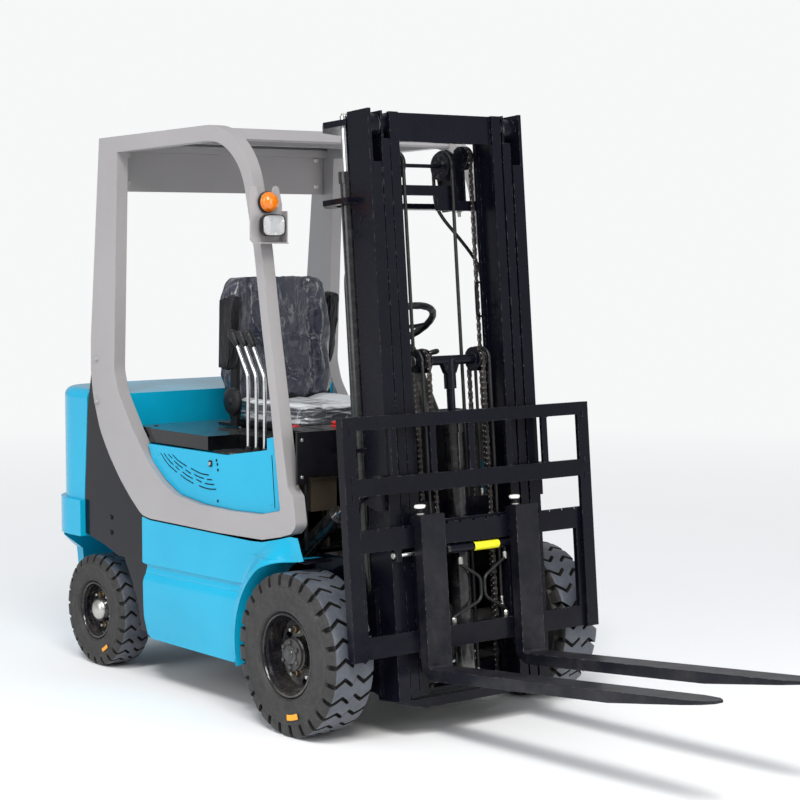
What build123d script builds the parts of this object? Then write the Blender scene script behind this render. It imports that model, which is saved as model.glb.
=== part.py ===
from build123d import *
import os
import math

os.makedirs("parts", exist_ok=True)

# ------------------------------------------------------------------
# Four-wheel electric counterbalance forklift, triplex full-free-lift
# mast. Millimetres. Working frame: X forward, Y left, Z up, origin on
# the ground under the front axle. Every solid is shifted by X_SHIFT on
# export, so that the stored origin is the centre of the footprint.
# ------------------------------------------------------------------

# overall
X_SHIFT = 81.3
Y_BODY = 550.0            # half width over the side panels
Z_BOTTOM = 184.0          # underside of the body
X_REAR = -1810.0          # rear face of the counterweight

# wheels
R_FRONT = 288.0
W_FRONT = 189.0
Y_FRONT = 531.0           # wheel centre plane
R_REAR = 225.0
W_REAR = 150.0
Y_REAR = 453.0
WHEELBASE = 1447.0
X_RA = -WHEELBASE
Y_KING = 338.0            # king pin
R_AXLE = 62.0             # front axle tube

# mast, drawn upright and then leaned back about (150, 300)
MAST_TILT = 5.227
MX, MZ = 150.0, 300.0
Z_MAST_TOP = 2173.0
Z_RAIL_BOT = 126.0
OUTER_WEB = (342.0, 354.0)
OUTER_FL = (304.0, 342.0)
MID_FL = (262.0, 298.0)
MID_WEB = (276.0, 284.0)
INNER_FL = (216.0, 256.0)
INNER_WEB = (232.0, 240.0)
RAIL_BACK = 176.0
OUTER_FRONT = 292.0
MID_FRONT = 289.0
INNER_FRONT = 286.0
T_FL = 14.0
SHEAVE_Z = 1297.0
SHEAVE_R = 42.0

# carriage, backrest and forks (mast frame)
X_BAR = (303.0, 321.0)
X_BACKREST = (302.0, 336.0)
HB = 572.0                # half width of the backrest
Z_BR = (291.0, 1119.0)
Z_BARS = ((305.0, 368.0), (656.0, 722.0))
FORK_Y = 220.0
FORK_W = 106.0
FORK_T = 40.0
X_SHANK = (322.0, 362.0)
Z_BLADE = 236.0
X_TIP = 1647.0
Z_SHANK = 768.0

# overhead guard
Y_GUARD = (500.0, 550.0)
Z_ROOF = 2110.0

EXPORTED = []


def bx(x0, x1, y0, y1, z0, z1):
    """Box from its limits."""
    return Pos((x0 + x1) / 2, (y0 + y1) / 2, (z0 + z1) / 2) * Box(
        abs(x1 - x0), abs(y1 - y0), abs(z1 - z0))


def cyl(p, q, r):
    """Cylinder between two points."""
    p, q = Vector(*p), Vector(*q)
    d = q - p
    pl = Plane(origin=p, z_dir=d)
    return pl * Pos(0, 0, d.length / 2) * Cylinder(r, d.length)


def cyl_y(x, z, r, y0, y1):
    return cyl((x, min(y0, y1), z), (x, max(y0, y1), z), r)


def cyl_z(x, y, r, z0, z1):
    return cyl((x, y, z0), (x, y, z1), r)


def plate_xz(pts, y0, y1, radii=None):
    """Outline in X and Z, pulled from y0 to y1."""
    p3 = [(x, y0, z) for x, z in pts]
    if radii is None:
        w = Wire.make_polygon([Vector(*p) for p in p3], close=True)
    else:
        w = Wire(FilletPolyline(*p3, radius=radii, close=True).edges())
    return Solid.extrude(Face(w), Vector(0, y1 - y0, 0))


def plate_xy(pts, z0, z1, radii=None):
    p3 = [(x, y, z0) for x, y in pts]
    if radii is None:
        w = Wire.make_polygon([Vector(*p) for p in p3], close=True)
    else:
        w = Wire(FilletPolyline(*p3, radius=radii, close=True).edges())
    return Solid.extrude(Face(w), Vector(0, 0, z1 - z0))


def plate_yz(pts, x0, x1, radii=None):
    p3 = [(x0, y, z) for y, z in pts]
    if radii is None:
        w = Wire.make_polygon([Vector(*p) for p in p3], close=True)
    else:
        w = Wire(FilletPolyline(*p3, radius=radii, close=True).edges())
    return Solid.extrude(Face(w), Vector(x1 - x0, 0, 0))


def turned(pts, x, y, z, side):
    """Ring turned about an axis along Y. pts are (radius, offset), the
    offset pointing outboard; side is -1 on the right and 1 on the left."""
    p3 = [Vector(x, y + side * w, z + r) for r, w in pts]
    f = Face(Wire.make_polygon(p3, close=True))
    return Solid.revolve(f, 360, Axis((x, y, z), (0, 1, 0)))


def swung(pts, x, y, z, side, a0, a1):
    """Part of a ring, between two angles counted from +X up to +Z."""
    p3 = [Vector(x, y + side * w, z + r) for r, w in pts]
    f = Face(Wire.make_polygon(p3, close=True))
    ax = Axis((x, y, z), (0, 1, 0))
    return Solid.revolve(f.rotate(ax, 90 - a1), a1 - a0, ax)


def pipe(pts, r, bend):
    """Round run of hose or bar: straight lengths joined by tangent arcs."""
    p = [Vector(*q) for q in pts]
    if not isinstance(bend, (list, tuple)):
        bend = [bend] * (len(p) - 2)
    out = None
    start = p[0]
    for k in range(1, len(p)):
        d = (p[k] - p[k - 1]).normalized()
        end = p[k]
        if k < len(p) - 1:
            e = (p[k + 1] - p[k]).normalized()
            turn = math.radians(d.get_angle(e))
            cut = bend[k - 1] * math.tan(turn / 2)
            end = p[k] - d * cut
        piece = cyl((start.X, start.Y, start.Z), (end.X, end.Y, end.Z), r)
        out = piece if out is None else out + piece
        if k < len(p) - 1:
            n = d.cross(e).normalized()
            c = end + n.cross(d) * bend[k - 1]
            disc = Plane(origin=end, z_dir=d) * Circle(r)
            out = out + Solid.revolve(disc.face(), math.degrees(turn),
                                      Axis((c.X, c.Y, c.Z), (n.X, n.Y, n.Z)))
            start = p[k] + e * cut
    return out


def other_side(s):
    return mirror(s, about=Plane.XZ)


def fuse(*parts):
    flat = []
    for p in parts:
        flat += list(p) if isinstance(p, (list, tuple)) else [p]
    out = flat[0]
    for p in flat[1:]:
        out = out + p
    return out


def both(s):
    return [s, other_side(s)]


def solids_of(s):
    if isinstance(s, (list, tuple)):
        r = []
        for k in s:
            r += solids_of(k)
        return r
    return list(s.solids())


def save(name, shape, lean=False):
    """Write one node; mast pieces lean back about (MX, MZ) first."""
    sol = solids_of(shape)
    out = []
    for s in sol:
        if lean:
            s = Pos(MX, 0, MZ) * Rot(0, -MAST_TILT, 0) * Pos(-MX, 0, -MZ) * s
        out.append(Pos(X_SHIFT, 0, 0) * s)
    comp = out[0] if len(out) == 1 else Compound(children=out)
    comp.label = name
    export_step(comp, "parts/" + name + ".step")
    EXPORTED.append(name)


def to_mast(x, z):
    """A point of the vehicle in the upright mast frame."""
    a = math.radians(MAST_TILT)
    c, s = math.cos(a), math.sin(a)
    return MX + c * (x - MX) + s * (z - MZ), MZ - s * (x - MX) + c * (z - MZ)


# ------------------------------------------------------------------
# wheels
# ------------------------------------------------------------------
def tyre(r, w, rb, shoulder):
    h = w / 2
    return [(rb, -h + 18), (rb + 10, -h + 8), (rb + 0.30 * (r - rb), -h),
            (rb + 0.62 * (r - rb), -h), (r - shoulder, -h + 9), (r, -h + shoulder + 9),
            (r, h - shoulder - 9), (r - shoulder, h - 9), (rb + 0.62 * (r - rb), h),
            (rb + 0.30 * (r - rb), h), (rb + 10, h - 8), (rb, h - 18)]


def front_rim(side):
    y = side * Y_FRONT
    ring = turned([(150, -74), (150, 74), (141, 74), (136, 60), (132, 30), (126, 8),
                   (60, -4), (60, 46), (54, 50), (34, 50), (34, 62), (0, 62), (0, 24),
                   (33, 24), (33, -52), (78, -52), (78, -18), (126, -6), (136, -40),
                   (141, -74)], 0, y, R_FRONT, side)
    for k in range(6):
        a = math.radians(60 * k + 30)
        ring = ring - cyl_y(104 * math.cos(a), R_FRONT + 104 * math.sin(a), 13,
                            y - side * 40, y + side * 40)
    return ring


def rear_rim(side):
    y = side * Y_REAR
    ring = turned([(116, -58), (116, 58), (108, 58), (104, 30), (98, 14), (52, 8),
                   (52, 34), (44, 46), (26, 58), (0, 61), (0, 20), (23, 20), (23, -34),
                   (52, -34), (52, -4), (98, 2), (104, -20), (108, -58)],
                  X_RA, y, R_REAR, side)
    for k in range(5):
        a = math.radians(72 * k + 18)
        ring = ring - cyl_y(X_RA + 77 * math.cos(a), R_REAR + 77 * math.sin(a), 10,
                            y - side * 30, y + side * 30)
    return ring


for side, name in ((1, "left"), (-1, "right")):
    save("front_%s_tyre" % name, turned(tyre(R_FRONT, W_FRONT, 150, 16), 0,
                                        side * Y_FRONT, R_FRONT, side))
    save("front_%s_rim" % name, front_rim(side))
    save("rear_%s_tyre" % name, turned(tyre(R_REAR, W_REAR, 116, 13), X_RA,
                                       side * Y_REAR, R_REAR, side))
    save("rear_%s_rim" % name, rear_rim(side))

# ------------------------------------------------------------------
# front axle: tube, flanges, brake drums, spindles and the drive case
# ------------------------------------------------------------------
axle = cyl_y(0, R_FRONT, R_AXLE, -404, 404)
axle = fuse(axle, both(cyl_y(0, R_FRONT, 104, -452, -404)))
axle = fuse(axle, both(cyl_y(0, R_FRONT, 86, -470, -452)))
axle = fuse(axle, both(cyl_y(0, R_FRONT, 31, -554, -470)))
axle = fuse(axle, cyl_y(0, R_FRONT, 118, -110, 96))
axle = fuse(axle, plate_xz([(-60, 190), (60, 190), (60, 250), (0, 330), (-60, 330)],
                           -100, 86))
axle = fuse(axle, cyl((-110, 40, 300), (-330, 40, 330), 78))
save("front_axle", axle)

# ------------------------------------------------------------------
# rear steer axle: beam, king pins, saddle and steer cylinder barrel
# ------------------------------------------------------------------
Z_TIE = 292.0
A_ARM = 50.0
beam = plate_xy([(X_RA - 60, -200), (X_RA - 60, 200), (X_RA - 34, 300),
                 (X_RA + 34, 300), (X_RA + 60, 200), (X_RA + 60, -200),
                 (X_RA + 34, -300), (X_RA - 34, -300)], 184, 262)
beam = fuse(beam, both(cyl_z(X_RA, -Y_KING, 34, 186, 260)),
            both(bx(X_RA - 34, X_RA + 34, -Y_KING + 4, -290, 186, 260)),
            both(cyl_z(X_RA, -Y_KING, 14, 158, 286)))
beam = fuse(beam, bx(X_RA - 92, X_RA + 92, -62, 62, 215, 250),
            bx(X_RA - 92, X_RA - 66, -62, 62, 215, 372),
            bx(X_RA + 66, X_RA + 92, -62, 62, 215, 372))
barrel_y = 118.0
steer_x = X_RA - 33
Z_ROD = 326.0
beam = fuse(beam, cyl_y(steer_x, Z_ROD, 27, -barrel_y, barrel_y),
            both(bx(steer_x - 16, steer_x + 16, 84, 104, 255, 308)))
rod_cut = cyl_y(steer_x, Z_ROD, 13, -300, 300)
beam = beam - rod_cut
save("rear_axle", beam)

rod = cyl_y(steer_x, Z_ROD, 12.5, -254, 254)
eye_y = 272.0
rod = fuse(rod, both(bx(steer_x - 10, steer_x + 10, 240, 262, Z_ROD - 12, Z_ROD + 12)),
           both(bx(steer_x - 13, steer_x + 13, 256, eye_y + 13, Z_ROD - 12, Z_ROD + 4)),
           both(cyl_z(steer_x, eye_y, 7, Z_ROD - 18, Z_ROD + 12)))
save("steer_cylinder_rod", rod)


def knuckle(side):
    s = side
    k = [bx(X_RA - 36, X_RA + 36, s * 300, s * 396, 264, 282),
         bx(X_RA - 36, X_RA + 36, s * 300, s * 396, 164, 182),
         bx(X_RA - 36, X_RA + 36, s * 376, s * 396, 164, 282),
         cyl_y(X_RA, R_REAR, 44, s * 392, s * 410),
         cyl_y(X_RA, R_REAR, 22, s * 408, s * 468)]
    k = fuse(*k)
    k = k - cyl_z(X_RA, s * Y_KING, 15, 150, 300)
    arm = fuse(bx(X_RA - A_ARM - 13, X_RA - 30, s * (Y_KING - 13), s * (Y_KING + 13), 268, 282),
               cyl_z(X_RA - A_ARM, s * Y_KING, 13, 268, 282),
               cyl_z(X_RA - A_ARM, s * Y_KING, 7, 275, 314))
    return fuse(k, arm)


def tie_link(side):
    """Short bar from the arm's pin to the eye of the rod."""
    p = (X_RA - A_ARM, side * Y_KING)
    q = (steer_x, side * eye_y)
    link = cyl_z(p[0], p[1], 14, 294, 306)
    link = fuse(link, cyl_z(q[0], q[1], 13, 294, 306))
    d = Vector(q[0] - p[0], q[1] - p[1], 0)
    n = Vector(-d.Y, d.X, 0).normalized() * 9
    pts = [(p[0] + n.X, p[1] + n.Y), (q[0] + n.X, q[1] + n.Y),
           (q[0] - n.X, q[1] - n.Y), (p[0] - n.X, p[1] - n.Y)]
    link = fuse(link, plate_xy(pts, 294, 306))
    link = link - cyl_z(p[0], p[1], 7.4, 290, 310) - cyl_z(q[0], q[1], 6.6, 290, 310)
    return link


for side, name in ((1, "left"), (-1, "right")):
    save("%s_knuckle" % name, knuckle(side))
    save("%s_tie_link" % name, tie_link(side))

# ------------------------------------------------------------------
# chassis: tub round the battery, front frame, rear spine
# ------------------------------------------------------------------
tub = bx(-1034, -348, -534, 534, Z_BOTTOM, 640) - bx(-1024, -356, -524, 524, 194, 700)
front = fuse(both(bx(-350, 44, -384, -374, 168, 612)),
             bx(-112, -102, -376, 376, 168, 612),
             bx(-350, -340, -384, 384, 194, 612),
             bx(-346, -104, -376, 376, 168, 178))
front = front - cyl_y(0, R_FRONT, R_AXLE + 0.5, -420, 420)
front = front - cyl_y(0, R_FRONT, 124, -116, 102)
front = front - cyl((-60, 40, 293), (-360, 40, 334), 84)
# motor opening under the plate
front = front - bx(-330, -108, -60, 140, 160, 186)
rear_plate = fuse(bx(-1136, -1024, -494, 494, 470, 640),
                  bx(-1110, -1024, -380, 380, 194, 480))
rear_plate = rear_plate - bx(-1080, -1030, -360, 360, 220, 620)
tub = fuse(tub, front, rear_plate)
# tilt cylinder lugs
TILT_Y = 400.0
T_CH = (-240.0, 570.0)
T_MA = (130.0, 850.0)
for s in (-1, 1):
    lug = plate_xz([(-290, 506), (-290, 560), (-266, 590), (-232, 590), (-214, 560),
                    (-214, 506)], s * 434, s * 440)
    tub = fuse(tub, lug, bx(-290, -214, s * 380, s * 440, 506, 516),
               cyl_y(T_CH[0], T_CH[1], 12, s * 380, s * 440))
save("chassis_frame", tub)

# black side panels between the counterweight and the side panels
G_OUT = [(-1326, 2110), (-1362, 1900), (-1405, 1322), (-1407, 1200), (-1393, 1103),
         (-1342, 967), (-1268, 866), (-1194, 786), (-1121, 722), (-1038, 661)]
corner = plate_xz([(-1472, 1050), (-1500, 676), (-1500, 536), (-1440, 524), (-1346, 504),
                   (-1248, 474), (-1072, 474), (-1040, 474), (-1040, 655), (-1123, 716),
                   (-1197, 780), (-1272, 861), (-1347, 964), (-1398, 1100), (-1412, 1196),
                   (-1440, 1196)], 502, 528)
low = plate_xz([(-1244, 470), (-1040, 470), (-1040, 330), (-1072, 300), (-1090, 240),
                (-1098, 340), (-1150, 352), (-1178, 380), (-1205, 428)], 500, 512)
low = plate_xz([(-1240, 472), (-1180, 380), (-1140, 300), (-1120, 225), (-1120, 194),
                (-1040, 194), (-1040, 472)], 496, 508)
save("rear_corner_panels", both(fuse(corner, low)))

# battery: one closed block
save("battery_block", bx(-1015, -365, -500, 500, 200, 905))

# ------------------------------------------------------------------
# counterweight
# ------------------------------------------------------------------
HINGE = (-1184.0, 986.0)


def cw_plan(xr, hw, r, z0, z1, x_front):
    pts = [(x_front, -hw), (xr, -hw), (xr - 6, 0), (xr, hw), (x_front, hw)]
    return plate_xy(pts, z0, z1, [0, r, 0, r, 0])


upper = cw_plan(-1786, 530, 188, 660, 1120, -1200)
try:
    e = [k for k in upper.edges() if k.center().Z > 1119.5 and k.center().X < -1215]
    upper = fillet(e, 38)
except Exception as err:
    print("top edge left square", err)
lower = cw_plan(-1804, 550, 206, 522, 668, -1200)
cw = fuse(upper, lower)
# pockets for the guard legs and the black panels
for s in (-1, 1):
    cw = cw - plate_xz([(-1474, 1300), (-1474, 1050), (-1503, 676), (-1503, 400),
                        (-1100, 400), (-1100, 1300)], s * 500, s * 620)
# behind the wheels
skirt = plate_yz([(-520, 524), (-395, 430), (-372, 210), (372, 210), (395, 430),
                  (520, 524)], -1830, -1752)
skirt = skirt & cw_plan(-1804, 550, 206, 150, 524, -1200)
cw = fuse(cw, skirt, bx(-1760, -1140, -124, 124, 372, 530))
cw = fuse(cw, bx(-1200, -1140, -498, 498, 522, 900))
# arches
for s in (-1, 1):
    cw = cw - plate_xy([(X_RA - 304, s * 130), (X_RA + 306, s * 130),
                        (X_RA + 306, s * 600), (X_RA - 304, s * 600)], 150, 522)
# tow pocket
cw = cw - bx(-1830, -1712, -78, 78, 300, 452)
jaw = bx(-1798, -1700, -80, 80, 372, 388)
cw = fuse(cw, jaw)
cw = cw - cyl_z(-1768, 0, 14.5, 200, 600)
for s in (-1, 1):
    cw = fuse(cw, cyl_y(HINGE[0], HINGE[1], 9, s * 331, s * 361),
              bx(-1202, HINGE[0], s * 331, s * 361, HINGE[1] - 9, HINGE[1]))
save("counterweight", cw)
pin = fuse(cyl_z(-1768, 0, 14, 240, 420), cyl_z(-1768, 0, 22, 388, 396),
           cyl((-1768, -36, 422), (-1768, 36, 422), 8))
save("tow_pin", pin)

# ------------------------------------------------------------------
# cyan side panels
# ------------------------------------------------------------------
G_IN = [(-1193, 2055), (-1215, 1700), (-1232, 1212), (-1203, 1127), (-1100, 990),
        (-995, 878), (-904, 810), (-800, 763), (-630, 743), (-434, 740), (-245, 748),
        (-122, 774)]
R_ARCH = 336.0


def arc_pts(cx, cz, r, a0, a1, n):
    return [(cx + r * math.cos(math.radians(a0 + (a1 - a0) * k / n)),
             cz + r * math.sin(math.radians(a0 + (a1 - a0) * k / n))) for k in range(n + 1)]


arch = arc_pts(0, R_FRONT, R_ARCH, 92, 190, 10)
lower_pts = ([(-1035, 654), (-1035, 478), (-1012, 466), (-1030, 400), (-1032, 260),
              (-1010, 200), (-985, 184), (-356, 184)] + arch[::-1]
             + [(20, 624), (-22, 690), (-66, 690), (-128, 674), (-236, 651), (-310, 647),
                (-506, 647), (-977, 647)])
panel = plate_xz(lower_pts, 538, 550)
liner_pts = arc_pts(0, R_FRONT, R_ARCH, 84, 196, 18) + arc_pts(0, R_FRONT, R_ARCH + 8, 84, 196, 18)[::-1]
liner = plate_xz(liner_pts, 441, 552)
flare = swung([(336, 548), (336, 598), (340, 602), (346, 601), (394, 551), (394, 540),
               (388, 540), (346, 584), (343, 584), (343, 548)], 0, 0, R_FRONT, 1, 110, 196)
save("lower_side_panels", both(fuse(panel, liner, flare)))

upper_pts = [(-1022, 938), (-990, 876), (-900, 813), (-798, 766), (-630, 746),
             (-434, 743), (-245, 751), (-128, 777), (-146, 900), (-170, 1034),
             (-232, 1022), (-232, 980), (-490, 940)]
save("upper_side_panels", both(plate_xz(upper_pts, 516, 528)))

# ------------------------------------------------------------------
# overhead guard
# ------------------------------------------------------------------
loop_out = [(-1326, 2113), (-336, 2145), (-232, 1690), (-184, 1408), (-137, 1164), (-78, 862),
            (-46, 833), (-28, 730), (-60, 700), (-124, 682), (-233, 660), (-506, 653),
            (-977, 653), (-1038, 661), (-1121, 722), (-1194, 786), (-1268, 866),
            (-1342, 967), (-1393, 1103), (-1407, 1200), (-1405, 1322)]
loop_r = [6, 290, 0, 0, 0, 20, 12, 30, 0, 0, 0, 0, 60, 100, 300, 300, 300, 300, 300, 200, 0]
loop_in = [(-1193, 2056), (-379, 2088), (-277, 1689), (-229, 1408), (-182, 1164), (-122, 776), (-245, 750),
           (-434, 742), (-630, 744), (-800, 764), (-904, 811), (-995, 878),
           (-1100, 992), (-1203, 1127), (-1231, 1212)]
loop_ir = [4, 240, 0, 0, 0, 8, 0, 60, 120, 160, 160, 180, 150, 150, 110]
guard = plate_xz(loop_out, Y_GUARD[0], Y_GUARD[1], loop_r)
hole = plate_xz(loop_in, Y_GUARD[0] - 5, Y_GUARD[1] + 5, loop_ir)
guard = guard - hole
save("guard_side_frames", both(guard))

roof = plate_xz([(-1320, 2106), (-1320, 2098), (-960, 2110), (-596, 2122), (-508, 2113),
                 (-452, 2078), (-446, 2086), (-502, 2124), (-596, 2132), (-960, 2119)],
                -499.5, 499.5)
rear_bar = fuse(bx(-1270, -1262, -499.5, 499.5, 1907, 2092),
                bx(-1320, -1262, -499.5, 499.5, 2088, 2104))
ribs = fuse(bx(-950, -900, -499.5, 499.5, 2086, 2112), bx(-1262, -1236, -499.5, 499.5, 2060, 2090))
save("guard_roof", fuse(roof, rear_bar, ribs))

# ------------------------------------------------------------------
# front cowl, floor, column, levers, lamps
# ------------------------------------------------------------------
cowl_front = plate_yz([(-534, 1058), (-534, 874), (-496, 874), (-496, 646), (-486, 640),
                       (-486, 900), (-318, 900), (-318, 614), (318, 614), (318, 900),
                       (486, 900), (486, 640), (496, 646), (496, 874), (534, 874),
                       (534, 1058)], -52, -42)
cowl = fuse(cowl_front,
            plate_xz([(-52, 1050), (-42, 1058), (-210, 1058), (-236, 1040), (-236, 1030),
                      (-208, 1048)], -496, 496),
            plate_xz([(-236, 1036), (-228, 1036), (-150, 640), (-158, 640)], -496, 496))
cowl = cowl - bx(-220, -54, -486, -300, 600, 912) - bx(-220, -54, 300, 486, 600, 912)
cowl = cowl - bx(-400, -146, -600, -497, 500, 1100) - bx(-400, -146, 497, 600, 500, 1100)
save("front_cowl", cowl)

equip = [fuse(bx(-140, -72, -452, -338, 770, 884), bx(-144, -66, -458, -332, 884, 892)),
         fuse(cyl_z(-100, -326, 24, 700, 760), cyl_z(-100, -326, 17, 758, 776)),
         pipe([(-120, -362, 769.5), (-120, -362, 700), (-160, -334, 660), (-160, -334, 630.5)], 7, 20),
         cyl_z(-86, -366, 7, 640, 769.5)]
save("cowl_equipment", equip)

floor = fuse(bx(-338, -120, -372, 372, 622, 630), bx(-338, -290, -497, 497, 622, 630))
for w, yy in ((60, -190), (60, -60), (44, 90)):
    ped = plate_xz([(-214, 700), (-206, 704), (-250, 790), (-258, 786)], yy - w / 2, yy + w / 2)
    floor = fuse(floor, ped, cyl((-212, yy, 706), (-182, yy, 626), 7))
save("floor_and_pedals", floor)

SW = (-170.0, 0.0, 1408.0)
SW_N = (-0.53, 0.0, 0.848)
mid = Vector(SW[0] + 0.53 * 230, 0, SW[2] - 0.848 * 230)
col = cyl((mid.X - 0.53 * 200, 0, mid.Z + 0.848 * 200), (SW[0] + 0.53 * 398, 0, SW[2] - 0.848 * 398), 22)
pod = cyl((SW[0] + 0.53 * 100, 0, SW[2] - 0.848 * 100), (SW[0] + 0.53 * 396, 0, SW[2] - 0.848 * 396), 46)
col = fuse(col, pod)
col = col - bx(-300, 200, -100, 100, 900, 1058.5)
save("steering_column", col)

pl = Plane(origin=SW, z_dir=SW_N)
rim = pl * Torus(152, 13)
hub = pl * Pos(0, 0, -6) * Cylinder(34, 20)
wheel = fuse(rim, hub)
for a in (90, 210, 330):
    sp = pl * Rot(0, 0, a) * Pos(87, 0, -4) * Box(120, 20, 8)
    wheel = fuse(wheel, sp)
knob = pl * Rot(0, 0, 200) * Pos(152, 0, 30) * Cylinder(17, 36)
wheel = fuse(wheel, knob)
save("steering_wheel", wheel)

console = fuse(bx(-626, -332, -497, -374, 906, 946), bx(-346, -240, -497, -374, 631, 946))
console = console - bx(-600, -360, -485, -390, 930, 960)
lev = [console]
for k, x in enumerate((-466, -414, -362)):
    yk = -445
    lev.append(cyl((x, yk, 925), (x, yk, 1240), 8))
    lev.append(Pos(x, yk, 1240) * Sphere(8))
    lev.append(cyl((x, yk, 1240), (x - 62, yk, 1330), 8))
    lev.append(cyl((x - 58, yk, 1324), (x - 92, yk, 1376), 14))
save("hydraulic_levers", fuse(*lev))

# lamp unit on each front pillar: bracket, work lamp and turn signal
lampx = -196.0


def lamp(side):
    s = side
    plate = bx(lampx - 4, lampx, s * 486, s * 608, 1712, 1906)
    arm = bx(-284, lampx, s * 551, s * 557, 1740, 1860)
    shroud = fuse(bx(lampx, lampx + 46, s * 486, s * 490, 1712, 1830),
                  bx(lampx, lampx + 46, s * 486, s * 608, 1712, 1716))
    work = bx(lampx, lampx + 52, s * 500, s * 598, 1732, 1812)
    turn = cyl((lampx, s * 564, 1866), (lampx + 46, s * 564, 1866), 28)
    return fuse(plate, arm, shroud, work, turn)


save("front_lamps", [lamp(-1), lamp(1)])

# ------------------------------------------------------------------
# battery hood with the seat
# ------------------------------------------------------------------
hood = plate_xy([(-1168, -495), (-1168, 495), (-1036, 495), (-1036, 512), (-340, 512),
                 (-340, -366), (-632, -366), (-632, -512), (-1036, -512), (-1036, -495)],
                944, 996)
hood = hood - plate_xy([(-1154, -483), (-1154, 483), (-1024, 483), (-1024, 500), (-352, 500),
                        (-352, -354), (-644, -354), (-644, -500), (-1024, -500),
                        (-1024, -483)], 930, 986)
hood = fuse(hood, bx(-348, -340, -366, 495, 652, 960), bx(-348, -340, 480, 512, 756, 960))
for s in (-1, 1):
    hood = fuse(hood, cyl_y(HINGE[0], HINGE[1], 9, s * 300, s * 330),
                bx(HINGE[0], -1160, s * 300, s * 330, HINGE[1], HINGE[1] + 9))
save("battery_hood", hood)

seat = fuse(bx(-900, -470, -190, -150, 996, 1008), bx(-900, -470, 150, 190, 996, 1008),
            bx(-900, -480, -205, 205, 1008, 1014))
arms = []
for s, o, y0, y1, y2, y3 in ((-1, 84, 236, 252, 256, 306), (1, -66, 264, 278, 276, 322)):
    arms.append(fuse(plate_xz([(-946 + o, 1002), (-906 + o, 1002), (-906 + o, 1280), (-946 + o, 1280)],
                              s * y0, s * y1),
                     plate_xz([(-948 + o, 1232), (-906 + o, 1232), (-880 + o, 1470), (-905 + o, 1500),
                               (-940 + o, 1490)], s * y2, s * y3),
                     bx(-940 + o, -912 + o, s * (y1 - 2), s * (y2 + 2), 1240, 1280),
                     bx(min(-946, -946 + o), max(-860, -906 + o), s * 200, s * y1, 1002, 1013.5)))
save("seat_base", fuse(seat, *arms))
cush = plate_xz([(-900, 1014.5), (-452, 1014.5), (-440, 1046), (-452, 1092), (-560, 1086),
                 (-800, 1068), (-860, 1074)], -228, 228,)
save("seat_cushion", cush)
back = plate_yz([(-222, 1092), (250, 1092), (258, 1300), (244, 1520), (196, 1574),
                 (-150, 1574), (-206, 1510), (-228, 1300)], -980, -880)
lean_back = Pos(-920, 0, 1126) * Rot(0, -4, 0) * Pos(920, 0, -1126) * back
save("seat_backrest", fuse(lean_back - bx(-1100, -800, -300, 300, 1000, 1112),
                           bx(-978, -904, -190, 225, 1014.5, 1120)))

# ------------------------------------------------------------------
# mast (upright frame, leaned back on export)
# ------------------------------------------------------------------
def rail(y_fl, y_web, front, z0, z1):
    """One rail on the left side: two flanges and a web."""
    return fuse(bx(RAIL_BACK, RAIL_BACK + T_FL, y_fl[0], y_fl[1], z0, z1),
                bx(front - T_FL, front, y_fl[0], y_fl[1], z0, z1),
                bx(RAIL_BACK, front, y_web[0], y_web[1], z0, z1))


hx, hz = to_mast(0, R_FRONT)
tcx, tcz = to_mast(*T_MA)
outer = rail((OUTER_FL[0], 350), OUTER_WEB, OUTER_FRONT, Z_RAIL_BOT, Z_MAST_TOP)
outer = outer - bx(OUTER_FRONT - T_FL - 1, OUTER_FRONT + 1, 290, 341, 1990, 2200)
outer = fuse(outer, cyl_y(232, 2122, 41, 286, 342))
# foot that clasps the axle tube
foot = plate_xz([(hx - 10, hz - 82), (RAIL_BACK + 30, 140), (RAIL_BACK + 30, 520), (hx + 70, 420),
                 (hx - 10, hz + 82)], 352, 368)
foot = foot - cyl_y(hx, hz, R_AXLE + 1.2, 340, 380)
cap = cyl_y(hx, hz, R_AXLE + 20, 352, 368) - cyl_y(hx, hz, R_AXLE + 1.2, 340, 380)
outer = fuse(outer, foot, cap)
lugm = plate_xz([(tcx - 22, tcz - 26), (tcx + 70, tcz - 60), (tcx + 100, tcz - 60),
                 (tcx + 100, tcz + 60), (tcx + 70, tcz + 60), (tcx - 22, tcz + 26)], 352, 378)
outer = fuse(outer, lugm, cyl_y(tcx, tcz, 9, 370, 424), cyl_y(tcx, tcz, 20, 416, 424))
outer_all = fuse(outer, other_side(outer))
# ties: bottom plate, two rear cross members and the bowed top member
outer_all = fuse(outer_all,
                 plate_yz([(-354, 126), (-240, 92), (240, 92), (354, 126)], RAIL_BACK, OUTER_FRONT),
                 bx(150, 162, -342, 342, 640, 740), both(bx(150, 178, 306, 342, 640, 740)),
                 bx(84, 162, -354, 354, 150, 196), both(bx(84, 182, 306, 354, 150, 196)))
bow = plate_xy([(200, 348), (200, 392), (60, 392), (-10, 330), (-34, 200), (-34, -200),
                (-10, -330), (60, -392), (200, -392), (200, -348), (190, -348), (182, -354), (72, -354),
                (34, -310), (14, -190), (14, 190), (34, 310), (72, 354), (182, 354),
                (190, 348)], 1856, 1876)
outer_all = fuse(outer_all, bow, both(bx(10, 108, 190, 214, 1856, 1876)),
                 both(bx(58, 84, 308, 362, 990, 1004)), both(bx(58, 182, 353, 362, 990, 1004)))
save("outer_mast", outer_all, lean=True)

CYL_X, CYL_Y = 120.0, 322.0
barrels = []
for s in (-1, 1):
    b = fuse(cyl_z(CYL_X, s * CYL_Y, 29, 196, 1960), cyl_z(CYL_X, s * CYL_Y, 33, 1930, 1972))
    b = b - cyl_z(CYL_X, s * CYL_Y, 21, 230, 2000)
    barrels.append(b)
save("main_lift_barrels", barrels, lean=True)

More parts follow.
